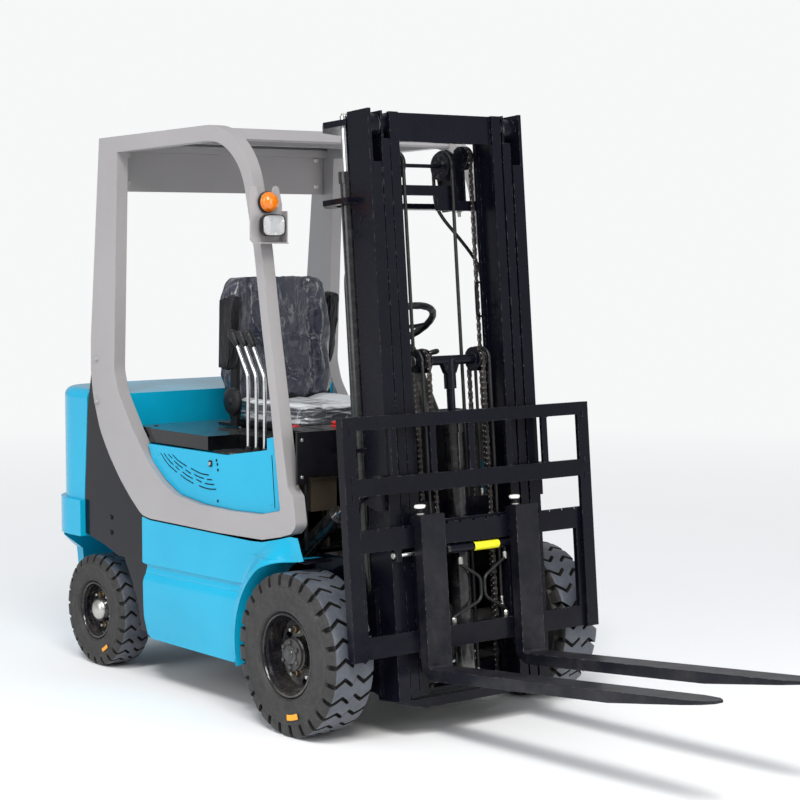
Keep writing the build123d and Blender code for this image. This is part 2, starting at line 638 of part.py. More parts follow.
midr = rail(MID_FL, MID_WEB, MID_FRONT, Z_RAIL_BOT + 6, Z_MAST_TOP - 4)
midr = midr - bx(MID_FRONT - T_FL - 1, MID_FRONT + 1, 255, 275.5, 2070, 2200)
midr = midr - bx(MID_FRONT - T_FL - 1, MID_FRONT + 1, 255, 300, 2070, 2200)
midr = fuse(midr, cyl_y(231, 2124, 39, 242, 278))
midr = fuse(midr, cyl_y(231, 190, 39, 282, 340))
mid_all = fuse(midr, other_side(midr))
bow2 = plate_xy([(176, 262), (176, 356), (60, 372), (-40, 300), (-84, 200), (-84, -200),
                 (-40, -300), (60, -372), (176, -356), (176, -262), (110, -262), (30, -240),
                 (-30, -150), (-30, 150), (30, 240), (110, 262)], 2128, 2150)
bow2 = bow2 - bx(170, 200, 299, 400, 2100, 2200) - bx(170, 200, -400, -299, 2100, 2200)
mid_all = fuse(mid_all, bow2, both(bx(150, 186, 262, 298, 2110, 2150)),
               bx(150, 162, -290, 148, 1890, 1926), bx(150, 162, 46, 290, 1836, 1872),
               bx(150, 162, 46, 148, 1860, 1900), both(bx(150, 178, 264, 290, 1836, 1926)))
# pulleys of the main chains and of the hoses, on ears of the stepped tie
PUL_H = (122.0, 2000.0)
PUL_C = (136.0, 2030.0)
mid_all = fuse(mid_all, both(plate_xz([(66, 1980), (90, 1836), (162, 1836), (162, 2040), (130, 2060),
                                       (80, 2056)], 128, 138)),
               both(plate_xz([(108, 2010), (120, 1836), (162, 1836), (162, 2050), (140, 2072),
                              (116, 2060)], 176, 184)),
               cyl_y(PUL_H[0], PUL_H[1], 7, -138, 138), both(cyl_y(PUL_C[0], PUL_C[1], 13, 178, 222)))
for s in (-1, 1):
    mid_all = fuse(mid_all, turned([(0, -12), (51, -12), (51, -8.6), (44.3, -7.4), (44.3, 7.4),
                                 (51, 8.6), (51, 12), (0, 12)],
                                   PUL_H[0], s * 112, PUL_H[1], s),
                   turned([(0, -13), (42, -13), (42, -10.5), (34, -10.5), (34, 10.5), (42, 10.5),
                           (42, 13), (0, 13)], PUL_C[0], s * 202, PUL_C[1], s))
for s in (-1, 1):
    mid_all = mid_all - cyl_z(CYL_X, s * CYL_Y, 10.3, 2100, 2200)
save("intermediate_mast", mid_all, lean=True)
rods = []
for s in (-1, 1):
    r = fuse(cyl_z(CYL_X, s * CYL_Y, 16, 260, 2128), cyl_z(CYL_X, s * CYL_Y, 10, 2120, 2160),
             cyl_z(CYL_X, s * CYL_Y, 17, 2150, 2166))
    rods.append(r)
save("main_lift_rods", rods, lean=True)

inr = rail(INNER_FL, INNER_WEB, INNER_FRONT, Z_RAIL_BOT + 12, Z_MAST_TOP - 8)
inr = fuse(inr, cyl_y(230, 190, 39, 238, 274))
in_all = fuse(inr, other_side(inr),
              bx(256, 274, -218, 218, 2064, 2164),
              bx(RAIL_BACK, 256, -218, 218, 132, 150),
              bx(182.5, 197, -198, 198, 700, 800), both(bx(182.5, 187, 190, 218, 700, 800)),
              both(bx(164, 180, 186, 218, 132, 150)),
              both(bx(164, 180, 100, 124, 132, 150)),
              pipe([(184.5, 218, 1577), (184.5, 186, 1570), (184.5, 186, 1456),
                    (184.5, 218, 1448)], 3.6, 14))
save("inner_mast", in_all, lean=True)

FX = 234.0
fb = fuse(cyl_z(FX, 0, 36, 150, 1070), cyl_z(FX, 0, 42, 1040, 1112))
fb = fb - cyl_z(FX, 0, 20, 170, 1200)
save("free_lift_barrel", fb, lean=True)

head = fuse(cyl_z(FX, 0, 15, 250, 1215), cyl_z(FX, 0, 22, 1195, 1300),
            cyl_y(FX, SHEAVE_Z, 17, -168, 168),
            plate_yz([(-40, 1290), (-22, 1250), (22, 1250), (40, 1290)], FX - 12, FX + 12))
for s in (-1, 1):
    head = fuse(head, turned([(0, -16), (SHEAVE_R, -16), (SHEAVE_R, -12), (SHEAVE_R - 8, -12),
                              (SHEAVE_R - 8, 12), (SHEAVE_R, 12), (SHEAVE_R, 16), (0, 16)],
                             FX, s * 126, SHEAVE_Z, s))
    head = fuse(head, turned([(0, -9), (SHEAVE_R - 4, -9), (SHEAVE_R - 12, 0),
                              (SHEAVE_R - 4, 9), (0, 9)], FX, s * 156, SHEAVE_Z, s))
save("lift_crosshead", head, lean=True)

chf, chr_ = [], []
CH0, CH1 = SHEAVE_R - 7.5, SHEAVE_R + 0.5
for s in (-1, 1):
    chf.append(bx(FX + CH0, FX + CH1, s * 116, s * 136, 366.5, SHEAVE_Z))
    chr_.append(bx(FX - CH1, FX - CH0, s * 116, s * 136, 800.5, SHEAVE_Z))
save("front_lift_chains", chf, lean=True)
save("rear_lift_chains", chr_, lean=True)

# hoses that run over the crosshead beside the chains
hf, hr = [], []
for s in (-1, 1):
    hf.append(cyl_z(FX + 38.5, s * 156, 6, 410.5, SHEAVE_Z))
    hr.append(cyl_z(FX - 38.5, s * 156, 6, 800.5, SHEAVE_Z))
save("front_lift_hoses", hf, lean=True)
save("rear_lift_hoses", hr, lean=True)

# main chains and main hoses: up from the outer mast, over the pulleys of
# the intermediate mast and down to the foot of the inner mast
XC_F, XC_R = PUL_C[0] + 38, PUL_C[0] - 38
XH_F, XH_R = PUL_H[0] + 51.5, PUL_H[0] - 51.5
save("main_chain_front_runs", [bx(XC_F - 3.2, XC_F + 3.2, s * 192.5, s * 211.5, 150.5, PUL_C[1])
                               for s in (-1, 1)], lean=True)
save("main_chain_rear_runs", [bx(XC_R - 3.2, XC_R + 3.2, s * 192.5, s * 211.5, 1876.5, PUL_C[1])
                              for s in (-1, 1)], lean=True)
save("main_hose_front_runs", [cyl_z(XH_F, s * 112, 6.5, 150.5, PUL_H[1]) for s in (-1, 1)],
     lean=True)
save("main_hose_rear_runs", [pipe([(XH_R, s * 112, PUL_H[1]), (XH_R, s * 112, 1880),
                                   (XH_R, s * 318, 1640), (XH_R, s * 318, 1004.5)], 6.5, 90)
                             for s in (-1, 1)], lean=True)

# lift carriage between the inner rails
lc = []
for s in (-1, 1):
    lc.append(bx(262, 296, s * 178, s * 206, 282, 706))
    lc.append(bx(206, 264, s * 186, s * 204, 300, 380))
    lc.append(bx(206, 264, s * 186, s * 204, 600, 706))
    lc.append(cyl_y(231, 340, 39, s * 204, s * 230))
    lc.append(cyl_y(231, 655, 39, s * 204, s * 230))
    lc.append(bx(262, 284, s * 106, s * 168, 340, 366))
    lc.append(cyl_z(272.5, s * 156, 9, 360, 410))
lc.append(bx(282, 301, -206, 206, 306, 366))
lc.append(bx(282, 301, -206, 206, 658, 706))
lc.append(bx(282, 300, -206, 206, 724, 742))
lc.append(bx(280, 300, -206, -176, 282, 742))
lc.append(bx(280, 300, 176, 206, 282, 742))
sc_x, sc_z = 306.0, 634.0
lc.append(cyl_y(sc_x, sc_z, 16, -120, 176))
lc.append(bx(282, 302, 140, 176, 622, 646))
lc.append(bx(284, 304, -60, -32, 606, 622))
lift_c = fuse(*lc) - cyl_y(sc_x, sc_z, 9.6, -200, 166) - cyl_y(sc_x, sc_z, 15, -230, -119)
save("lift_carriage", lift_c, lean=True)
loops = [pipe([(291, -46, 605.5), (291, -46, 575), (291, 44, 520), (291, 44, 440), (291, -90, 392),
               (291, -90, 366.5)], 6, [16, 34, 34, 12]),
         pipe([(291, 166, 618), (291, 166, 580), (291, 62, 520), (291, 62, 450), (291, 156, 396),
               (291, 156, 366.5)], 6, [20, 34, 34, 14])]
save("carriage_hoses", loops, lean=True)

# side-shift frame: two fork bars, uprights
ss = []
for (z0, z1) in Z_BARS:
    ss.append(bx(X_BAR[0], X_BAR[1], -540, 540, z0, z1))
top_lip = bx(X_BAR[0] + 9, X_BAR[1], -540, 540, 716, 734)
ss.append(top_lip)
ss.append(bx(X_BAR[0] + 9, X_BAR[1], -540, 540, 294, 308))
for s in (-1, 1):
    ss.append(bx(X_BAR[0], X_BAR[1], *((288, 322) if s > 0 else (-270, -232)), 366, 658))
    ss.append(bx(X_BAR[0], X_BAR[1], s * 496, s * 540, 366, 658))
ssf = fuse(*ss)
for k in range(-8, 9):
    ssf = ssf - bx(X_BAR[0] + 5, X_BAR[1] + 2, k * 62 - 5, k * 62 + 5, 726, 740)
ssf = fuse(ssf, cyl_y(sc_x, sc_z, 9, -360, 60),
           bx(X_BAR[0], X_BAR[1], -354, -332, 614, 660))
save("side_shift_frame", ssf, lean=True)

br = []
for s in (-1, 1):
    br.append(bx(X_BACKREST[0], X_BACKREST[1], s * 541, s * HB, Z_BR[0], Z_BR[1]))
    br.append(bx(X_BAR[1] + 1, X_BACKREST[1], s * 518, s * 545, Z_BR[0], Z_BR[1]))
br.append(bx(X_BACKREST[0] + 6, X_BACKREST[1], -545, 545, 1073, Z_BR[1]))
br.append(bx(X_BACKREST[0] + 12, X_BACKREST[1], -545, 545, 848, 908))
for y in (-352, -176, 0, 176, 352):
    br.append(bx(X_BACKREST[0] + 20, X_BACKREST[1] - 2, y - 13, y + 13, 900, 1080))
save("load_backrest", fuse(*br), lean=True)


def fork(side):
    y = side * FORK_Y
    w = FORK_W / 2
    prof = [(X_SHANK[0], Z_SHANK), (X_SHANK[1], Z_SHANK), (X_SHANK[1], Z_BLADE + 8),
            (X_SHANK[1] + 8, Z_BLADE), (X_TIP, Z_BLADE), (X_TIP, Z_BLADE - 9),
            (X_TIP - 420, Z_BLADE - FORK_T + 2), (X_SHANK[0] + 40, Z_BLADE - FORK_T),
            (X_SHANK[0], Z_BLADE - FORK_T + 40)]
    f = plate_xz(prof, y - w, y + w, [6, 4, 6, 6, 0, 0, 80, 60, 20])
    tip = plate_xy([(X_TIP + 5, y - w - 2), (X_TIP + 5, y + w + 2), (X_TIP, y + w + 2),
                    (X_TIP, y - w - 2)], 100, 400)
    cut_l = plate_xy([(X_TIP - 110, y + w + 1), (X_TIP + 2, y + w + 1), (X_TIP + 2, y + 16),
                      (X_TIP - 30, y + w - 14)], 100, 400)
    cut_r = plate_xy([(X_TIP - 110, y - w - 1), (X_TIP + 2, y - w - 1), (X_TIP + 2, y - 16),
                      (X_TIP - 30, y - w + 14)], 100, 400)
    f = f - cut_l - cut_r
    # hooks over the two fork bars
    f = fuse(f, bx(X_BAR[0] + 1, X_SHANK[0] + 2, y - w, y + w, 736, 762),
             bx(X_BAR[0] + 1, X_BAR[0] + 7.5, y - w, y + w, 724, 740),
             bx(X_BAR[0] + 1, X_SHANK[0] + 2, y - w + 6, y + w - 6, 270, 292),
             bx(X_BAR[0] + 1, X_BAR[0] + 7.5, y - w + 6, y + w - 6, 286, 303),
             cyl_z(X_SHANK[0] + 16, y - 36, 9, Z_SHANK - 4, 794),
             cyl_z(X_SHANK[0] + 16, y - 36, 17, 792, 802))
    return f


save("left_fork", fork(1), lean=True)
save("right_fork", fork(-1), lean=True)

# ------------------------------------------------------------------
# tilt cylinders
# ------------------------------------------------------------------
dv = Vector(T_MA[0] - T_CH[0], 0, T_MA[1] - T_CH[1])
L = dv.length
u = dv.normalized()


def along(t, y):
    return (T_CH[0] + u.X * t, y, T_CH[1] + u.Z * t)


for s, name in ((1, "left"), (-1, "right")):
    y = s * TILT_Y
    b = fuse(cyl_y(T_CH[0], T_CH[1], 24, s * 389, s * 411),
             cyl(along(14, y), along(60, y), 18),
             cyl(along(50, y), along(320, y), 32))
    b = b - cyl_y(T_CH[0], T_CH[1], 12.4, s * 380, s * 430)
    b = b - cyl(along(66, y), along(330, y), 17)
    b = b - bx(-400, 300, s * 300, s * 389, 300, 1000)
    save("%s_tilt_barrel" % name, b)
    r = fuse(cyl(along(170, y), along(L - 18, y), 16),
             cyl_y(T_MA[0], T_MA[1], 25, s * 389, s * 411))
    r = r - cyl_y(T_MA[0], T_MA[1], 14, s * 380, s * 430)
    save("%s_tilt_rod" % name, r)

print("nodes", len(EXPORTED))
print("tilt pin in mast frame", tcx, tcz, "axle in mast frame", hx, hz)
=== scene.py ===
import bpy
import bmesh
import math
import random
import numpy as np
from mathutils import Matrix, Vector, noise


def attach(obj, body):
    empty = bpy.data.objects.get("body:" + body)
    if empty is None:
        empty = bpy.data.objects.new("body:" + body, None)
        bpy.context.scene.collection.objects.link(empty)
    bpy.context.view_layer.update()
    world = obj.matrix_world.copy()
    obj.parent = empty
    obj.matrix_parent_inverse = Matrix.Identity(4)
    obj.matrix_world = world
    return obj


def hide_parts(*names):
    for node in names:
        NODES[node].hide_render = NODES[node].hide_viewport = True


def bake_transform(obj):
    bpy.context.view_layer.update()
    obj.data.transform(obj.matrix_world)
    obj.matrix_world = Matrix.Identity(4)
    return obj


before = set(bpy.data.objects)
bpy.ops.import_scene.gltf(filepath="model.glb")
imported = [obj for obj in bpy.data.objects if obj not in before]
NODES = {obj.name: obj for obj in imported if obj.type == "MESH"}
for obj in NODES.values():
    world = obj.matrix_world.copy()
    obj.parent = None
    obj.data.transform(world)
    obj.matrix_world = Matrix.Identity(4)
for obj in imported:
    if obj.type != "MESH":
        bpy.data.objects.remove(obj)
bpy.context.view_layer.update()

# ----------------------------------------------------------------------
# Two drawing frames, both in metres: V is the vehicle's own (origin on
# the floor under the front axle), M is the mast upright before it leans
# back. X_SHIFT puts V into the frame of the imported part.
# ----------------------------------------------------------------------
X_SHIFT = 0.0813
LEAN = math.radians(5.227)
CL, SL = math.cos(LEAN), math.sin(LEAN)


def from_v(p):
    return Vector((p[0] + X_SHIFT, p[1], p[2]))


def from_m(p):
    dx, dz = p[0] - 0.15, p[2] - 0.3
    return Vector((0.15 + CL * dx - SL * dz + X_SHIFT, p[1], 0.3 + SL * dx + CL * dz))


# ----------------------------------------------------------------------
# camera, light and floor
# ----------------------------------------------------------------------
def setup_view():
    yaw, pitch, roll = math.radians(141.1023), math.radians(-5.4537), math.radians(0.1649)
    fwd = Vector((math.cos(pitch) * math.cos(yaw), math.cos(pitch) * math.sin(yaw), math.sin(pitch)))
    right = Vector((math.sin(yaw), -math.cos(yaw), 0))
    up = right.cross(fwd)
    r2 = math.cos(roll) * right + math.sin(roll) * up
    u2 = -math.sin(roll) * right + math.cos(roll) * up
    cam_data = bpy.data.cameras.new("camera")
    cam = bpy.data.objects.new("camera", cam_data)
    bpy.context.scene.collection.objects.link(cam)
    m = Matrix((r2, u2, -fwd)).transposed().to_4x4()
    m.translation = Vector((5.7316 + X_SHIFT, -4.7656, 1.7669))
    cam.matrix_world = m
    cam_data.sensor_fit = "HORIZONTAL"
    cam_data.sensor_width = 36.0
    cam_data.lens = 2065.31 / 800.0 * 36.0
    cam_data.shift_x = (400.0 - 392.71) / 800.0
    cam_data.shift_y = (425.44 - 400.0) / 800.0
    cam_data.clip_start, cam_data.clip_end = 0.1, 100.0
    bpy.context.scene.camera = cam

    world = bpy.data.worlds.new("studio")
    bpy.context.scene.world = world
    world.use_nodes = True
    nt = world.node_tree
    nt.nodes.clear()
    out = nt.nodes.new("ShaderNodeOutputWorld")
    bg = nt.nodes.new("ShaderNodeBackground")
    tc = nt.nodes.new("ShaderNodeTexCoord")
    sep = nt.nodes.new("ShaderNodeSeparateXYZ")
    ramp = nt.nodes.new("ShaderNodeValToRGB")
    ramp.color_ramp.elements[0].position = 0.0
    ramp.color_ramp.elements[0].color = (0.90, 0.90, 0.90, 1)
    ramp.color_ramp.elements[1].position = 1.0
    ramp.color_ramp.elements[1].color = (0.86, 0.92, 1.0, 1)
    nt.links.new(tc.outputs["Generated"], sep.inputs[0])
    nt.links.new(sep.outputs["Z"], ramp.inputs[0])
    nt.links.new(ramp.outputs[0], bg.inputs[0])
    bg.inputs[1].default_value = 0.52
    seen = nt.nodes.new("ShaderNodeBackground")
    seen.inputs[0].default_value = (0.93, 0.935, 0.94, 1)
    seen.inputs[1].default_value = 1.0
    ray = nt.nodes.new("ShaderNodeLightPath")
    pick = nt.nodes.new("ShaderNodeMixShader")
    nt.links.new(ray.outputs["Is Camera Ray"], pick.inputs[0])
    nt.links.new(bg.outputs[0], pick.inputs[1])
    nt.links.new(seen.outputs[0], pick.inputs[2])
    nt.links.new(pick.outputs[0], out.inputs[0])

    def area(name, loc, target, size, energy, colour=(1, 1, 1)):
        d = bpy.data.lights.new(name, "AREA")
        d.shape = "SQUARE"
        d.size = size
        d.energy = energy
        d.color = colour
        o = bpy.data.objects.new(name, d)
        bpy.context.scene.collection.objects.link(o)
        o.location = loc
        o.rotation_mode = "QUATERNION"
        o.rotation_quaternion = (Vector(target) - Vector(loc)).to_track_quat("-Z", "Y")

    area("key_light", (4.2, -2.6, 5.0), (0.0, 0.0, 0.9), 2.2, 230, (1.0, 0.98, 0.95))
    area("fill_light", (-1.0, -6.0, 2.8), (-0.3, 0.0, 0.8), 3.5, 105, (0.95, 0.98, 1.0))
    area("front_light", (6.0, 1.5, 2.6), (0.0, 0.0, 0.9), 3.0, 80)
    sun = bpy.data.lights.new("sun_light", "SUN")
    sun.energy = 1.25
    sun.angle = math.radians(12)
    so = bpy.data.objects.new("sun_light", sun)
    bpy.context.scene.collection.objects.link(so)
    so.rotation_mode = "QUATERNION"
    so.rotation_quaternion = Vector((-0.35, 0.45, -0.82)).to_track_quat("-Z", "Y")

    me = bpy.data.meshes.new("studio_floor")
    s = 40.0
    me.from_pydata([(-s, -s, 0), (s, -s, 0), (s, s, 0), (-s, s, 0)], [], [(0, 1, 2, 3)])
    floor = bpy.data.objects.new("studio_floor", me)
    bpy.context.scene.collection.objects.link(floor)
    mt = bpy.data.materials.new("pale_floor")
    mt.use_nodes = True
    b = mt.node_tree.nodes["Principled BSDF"]
    b.inputs["Roughness"].default_value = 0.75
    nz = mt.node_tree.nodes.new("ShaderNodeTexNoise")
    nz.inputs["Scale"].default_value = 1.2
    nz.inputs["Detail"].default_value = 6
    rp = mt.node_tree.nodes.new("ShaderNodeValToRGB")
    rp.color_ramp.elements[0].color = (0.90, 0.90, 0.90, 1)
    rp.color_ramp.elements[1].color = (0.93, 0.93, 0.93, 1)
    tcf = mt.node_tree.nodes.new("ShaderNodeTexCoord")
    mt.node_tree.links.new(tcf.outputs["Object"], nz.inputs["Vector"])
    mt.node_tree.links.new(nz.outputs[0], rp.inputs[0])
    mt.node_tree.links.new(rp.outputs[0], b.inputs["Base Color"])
    ln = mt.node_tree.nodes.new("ShaderNodeVectorMath")
    ln.operation = "LENGTH"
    mt.node_tree.links.new(tcf.outputs["Object"], ln.inputs[0])
    far = mt.node_tree.nodes.new("ShaderNodeMapRange")
    far.inputs["From Min"].default_value = 2.5
    far.inputs["From Max"].default_value = 11.0
    mt.node_tree.links.new(ln.outputs["Value"], far.inputs["Value"])
    em = mt.node_tree.nodes.new("ShaderNodeEmission")
    em.inputs[0].default_value = (0.93, 0.935, 0.94, 1)
    fade = mt.node_tree.nodes.new("ShaderNodeMixShader")
    mt.node_tree.links.new(far.outputs[0], fade.inputs[0])
    mt.node_tree.links.new(b.outputs[0], fade.inputs[1])
    mt.node_tree.links.new(em.outputs[0], fade.inputs[2])
    mt.node_tree.links.new(fade.outputs[0], mt.node_tree.nodes["Material Output"].inputs["Surface"])
    me.materials.append(mt)


setup_view()
bpy.context.scene.view_settings.view_transform = "Standard"


# ----------------------------------------------------------------------
# materials
# ----------------------------------------------------------------------
class Mat:
    """A small helper that builds one procedural material."""

    def __init__(self, name):
        self.m = bpy.data.materials.new(name)
        self.m.use_nodes = True
        self.t = self.m.node_tree
        self.b = self.t.nodes["Principled BSDF"]
        self.tc = self.t.nodes.new("ShaderNodeTexCoord")

    def n(self, kind, **kw):
        nd = self.t.nodes.new(kind)
        for k, v in kw.items():
            setattr(nd, k, v)
        return nd

    def l(self, a, b):
        self.t.links.new(a, b)

    def noise(self, scale, detail=4.0, rough=0.55, stretch=None, dist=0.0):
        nz = self.n("ShaderNodeTexNoise")
        nz.inputs["Scale"].default_value = scale
        nz.inputs["Detail"].default_value = detail
        nz.inputs["Roughness"].default_value = rough
        nz.inputs["Distortion"].default_value = dist
        if stretch:
            mp = self.n("ShaderNodeMapping")
            mp.inputs["Scale"].default_value = stretch
            self.l(self.tc.outputs["Object"], mp.inputs["Vector"])
            self.l(mp.outputs[0], nz.inputs["Vector"])
        else:
            self.l(self.tc.outputs["Object"], nz.inputs["Vector"])
        return nz.outputs["Fac"]

    def voronoi(self, scale, feature="F1", stretch=None):
        v = self.n("ShaderNodeTexVoronoi")
        v.feature = feature
        v.inputs["Scale"].default_value = scale
        if stretch:
            mp = self.n("ShaderNodeMapping")
            mp.inputs["Scale"].default_value = stretch
            self.l(self.tc.outputs["Object"], mp.inputs["Vector"])
            self.l(mp.outputs[0], v.inputs["Vector"])
        else:
            self.l(self.tc.outputs["Object"], v.inputs["Vector"])
        return v.outputs["Distance"]

    def ramp(self, fac, stops, interp="LINEAR"):
        r = self.n("ShaderNodeValToRGB")
        r.color_ramp.interpolation = interp
        e = r.color_ramp.elements
        while len(e) < len(stops):
            e.new(0.5)
        for k, (p, c) in enumerate(stops):
            e[k].position = p
            if not isinstance(c, (tuple, list)):
                c = (c, c, c)
            e[k].color = (c[0], c[1], c[2], 1)
        self.l(fac, r.inputs[0])
        return r.outputs[0]

    def math(self, op, a, b=None, clamp=False):
        nd = self.n("ShaderNodeMath", operation=op)
        nd.use_clamp = clamp
        for k, v in enumerate((a, b)):
            if v is None:
                continue
            if isinstance(v, (int, float)):
                nd.inputs[k].default_value = v
            else:
                self.l(v, nd.inputs[k])
        return nd.outputs[0]

    def mix(self, fac, a, b):
        nd = self.n("ShaderNodeMix", data_type="RGBA")
        for sock, v in ((0, fac), (6, a), (7, b)):
            if isinstance(v, (int, float)):
                nd.inputs[sock].default_value = v
            elif isinstance(v, (tuple, list)):
                nd.inputs[sock].default_value = (v[0], v[1], v[2], 1)
            else:
                self.l(v, nd.inputs[sock])
        return nd.outputs[2]

    def height(self):
        """World-like height of the surface at rest, in metres."""
        s = self.n("ShaderNodeSeparateXYZ")
        self.l(self.tc.outputs["Object"], s.inputs[0])
        return s.outputs["Z"]

    def facing_up(self):
        g = self.n("ShaderNodeNewGeometry")
        s = self.n("ShaderNodeSeparateXYZ")
        self.l(g.outputs["Normal"], s.inputs[0])
        return s.outputs["Z"]

    def edge(self, radius=0.004, lo=0.02, hi=0.25):
        """Mask that is 1 on convex and concave edges."""
        bv = self.n("ShaderNodeBevel")
        bv.samples = 4
        bv.inputs["Radius"].default_value = radius
        g = self.n("ShaderNodeNewGeometry")
        d = self.n("ShaderNodeVectorMath", operation="DOT_PRODUCT")
        self.l(bv.outputs[0], d.inputs[0])
        self.l(g.outputs["Normal"], d.inputs[1])
        inv = self.math("SUBTRACT", 1.0, d.outputs["Value"])
        mr = self.n("ShaderNodeMapRange")
        mr.inputs["From Min"].default_value = lo
        mr.inputs["From Max"].default_value = hi
        self.l(inv, mr.inputs["Value"])
        return mr.outputs[0]

    def bump(self, items, bevel=0.0):
        """items: (height socket, strength, distance); chained, over a soft edge."""
        prev = None
        if bevel > 0:
            bv = self.n("ShaderNodeBevel")
            bv.samples = 4
            bv.inputs["Radius"].default_value = bevel
            prev = bv.outputs[0]
        for h, strength, dist in items:
            b = self.n("ShaderNodeBump")
            b.inputs["Strength"].default_value = strength
            b.inputs["Distance"].default_value = dist
            self.l(h, b.inputs["Height"])
            if prev is not None:
                self.l(prev, b.inputs["Normal"])
            prev = b.outputs[0]
        self.l(prev, self.b.inputs["Normal"])

    def set(self, **kw):
        for k, v in kw.items():
            key = k.replace("_", " ")
            s = self.b.inputs[key]
            if isinstance(v, (int, float)):
                s.default_value = v
            elif isinstance(v, (tuple, list)):
                s.default_value = (v[0], v[1], v[2], 1) if len(v) == 3 else v
            else:
                self.l(v, s)


def paint(name, col, col2, spec=0.5, rough=0.3, coat=0.5, bevel=0.002, peel=0.25, wear=0.35,
          under=(0.25, 0.25, 0.24), dust=0.25, dust_col=(0.42, 0.40, 0.37), grain=900.0,
          metallic=0.0, low=0.5):
    """Sprayed paint: tone drift, orange peel, dust that gathers low and on
    ledges, chips along the edges."""
    k = Mat(name)
    tone = k.noise(1.7, 3.0, 0.5)
    c = k.mix(k.ramp(tone, [(0.3, 0.0), (0.7, 1.0)]), col, col2)
    fine = k.noise(38.0, 5.0, 0.65)
    c = k.mix(k.math("MULTIPLY", k.ramp(fine, [(0.45, 0.0), (0.8, 1.0)]), 0.25 * dust), c, dust_col)
    z = k.n("ShaderNodeMapRange")
    z.inputs["From Min"].default_value = low
    z.inputs["From Max"].default_value = 0.1
    z.inputs["To Min"].default_value = 0.0
    z.inputs["To Max"].default_value = 1.0
    k.l(k.height(), z.inputs["Value"])
    cloud = k.ramp(k.noise(9.0, 7.0, 0.68), [(0.42, 0.0), (0.72, 1.0)])
    d = k.math("MULTIPLY", k.math("MULTIPLY", cloud, z.outputs[0]), dust * 1.6)
    up = k.math("MULTIPLY", k.math("MAXIMUM", k.facing_up(), 0.0), dust * 0.55)
    speck = k.ramp(k.noise(160.0, 3.0, 0.7), [(0.4, 0.15), (0.68, 1.0)])
    d = k.math("ADD", d, k.math("MULTIPLY", up, speck), clamp=True)
    c = k.mix(d, c, dust_col)
    e = k.edge(0.0035)
    chip = k.ramp(k.noise(55.0, 6.0, 0.7), [(0.52, 0.0), (0.6, 1.0)], "LINEAR")
    w = k.math("MULTIPLY", k.math("MULTIPLY", e, chip), wear, clamp=True)
    c = k.mix(w, c, under)
    r = k.math("ADD", k.math("MULTIPLY", k.noise(14.0, 5.0, 0.6), 0.16), rough - 0.06)
    r = k.math("ADD", r, k.math("MULTIPLY", k.math("ADD", d, w), 0.45), clamp=True)
    k.set(Base_Color=c, Roughness=r, Metallic=metallic, Coat_Weight=coat, Coat_Roughness=0.08)
    k.b.inputs["Specular IOR Level"].default_value = spec
    k.bump([(k.noise(grain, 2.0, 0.5), peel * 0.25, 0.0004), (k.noise(26.0, 3.0, 0.5), 0.10, 0.0015),
            (w, 0.3, 0.0003)], bevel)
    return k.m


def plastic(name, col, rough=0.45, grain=700.0, bump=0.35, dust=0.25, bevel=0.002, coat=0.0):
    k = Mat(name)
    tone = k.ramp(k.noise(6.0, 5.0, 0.6), [(0.3, 0.0), (0.75, 1.0)])
    c = k.mix(tone, col, tuple(min(1.0, v * 1.45 + 0.006) for v in col))
    up = k.math("MULTIPLY", k.math("MAXIMUM", k.facing_up(), 0.0), dust)
    sp = k.ramp(k.noise(120.0, 5.0, 0.7), [(0.42, 0.0), (0.7, 1.0)])
    c = k.mix(k.math("MULTIPLY", up, sp), c, (0.38, 0.37, 0.35))
    r = k.math("ADD", k.math("MULTIPLY", k.noise(22.0, 5.0, 0.6), 0.2), rough - 0.08, clamp=True)
    k.set(Base_Color=c, Roughness=r, Coat_Weight=coat)
    k.b.inputs["Specular IOR Level"].default_value = 0.25
    k.bump([(k.voronoi(grain), bump, 0.0003), (k.noise(40.0, 3.0), 0.12, 0.0008)], bevel)
    return k.m


def steel(name, col, rough=0.3, brush=(1.0, 1.0, 30.0), rust=0.0, metallic=1.0, bevel=0.001,
          bump=0.25):
    k = Mat(name)
    br = k.noise(60.0, 6.0, 0.65, stretch=brush)
    c = k.mix(k.ramp(br, [(0.3, 0.0), (0.7, 1.0)]), tuple(v * 0.78 for v in col), col)
    spots = k.ramp(k.noise(24.0, 8.0, 0.72), [(0.56, 0.0), (0.66, 1.0)])
    s = k.math("MULTIPLY", spots, rust)
    c = k.mix(s, c, (0.19, 0.075, 0.03))
    r = k.math("ADD", k.math("MULTIPLY", br, 0.25), rough - 0.1)
    r = k.math("ADD", r, k.math("MULTIPLY", s, 0.5), clamp=True)
    met = k.math("SUBTRACT", metallic, k.math("MULTIPLY", s, 0.9), clamp=True)
    k.set(Base_Color=c, Roughness=r, Metallic=met)
    k.bump([(br, bump, 0.0003), (k.noise(300.0, 3.0), 0.15, 0.0002)], bevel)
    return k.m


def rubber(name, col, col2, rough=0.72, dust=0.35):
    k = Mat(name)
    a = k.ramp(k.noise(11.0, 7.0, 0.65), [(0.32, 0.0), (0.72, 1.0)])
    c = k.mix(a, col, col2)
    d = k.math("MULTIPLY", k.ramp(k.noise(70.0, 6.0, 0.7), [(0.48, 0.0), (0.78, 1.0)]), dust)
    c = k.mix(d, c, (0.27, 0.26, 0.245))
    e = k.math("MULTIPLY", k.edge(0.0025), 0.35)
    c = k.mix(e, c, (0.22, 0.22, 0.215))
    r = k.math("ADD", k.math("MULTIPLY", k.noise(30.0, 4.0), 0.2), rough - 0.1, clamp=True)
    k.set(Base_Color=c, Roughness=r)
    k.b.inputs["Specular IOR Level"].default_value = 0.4
    k.bump([(k.noise(420.0, 4.0, 0.6), 0.35, 0.0004), (k.noise(46.0, 4.0, 0.6), 0.25, 0.0012)], 0.0018)
    return k.m


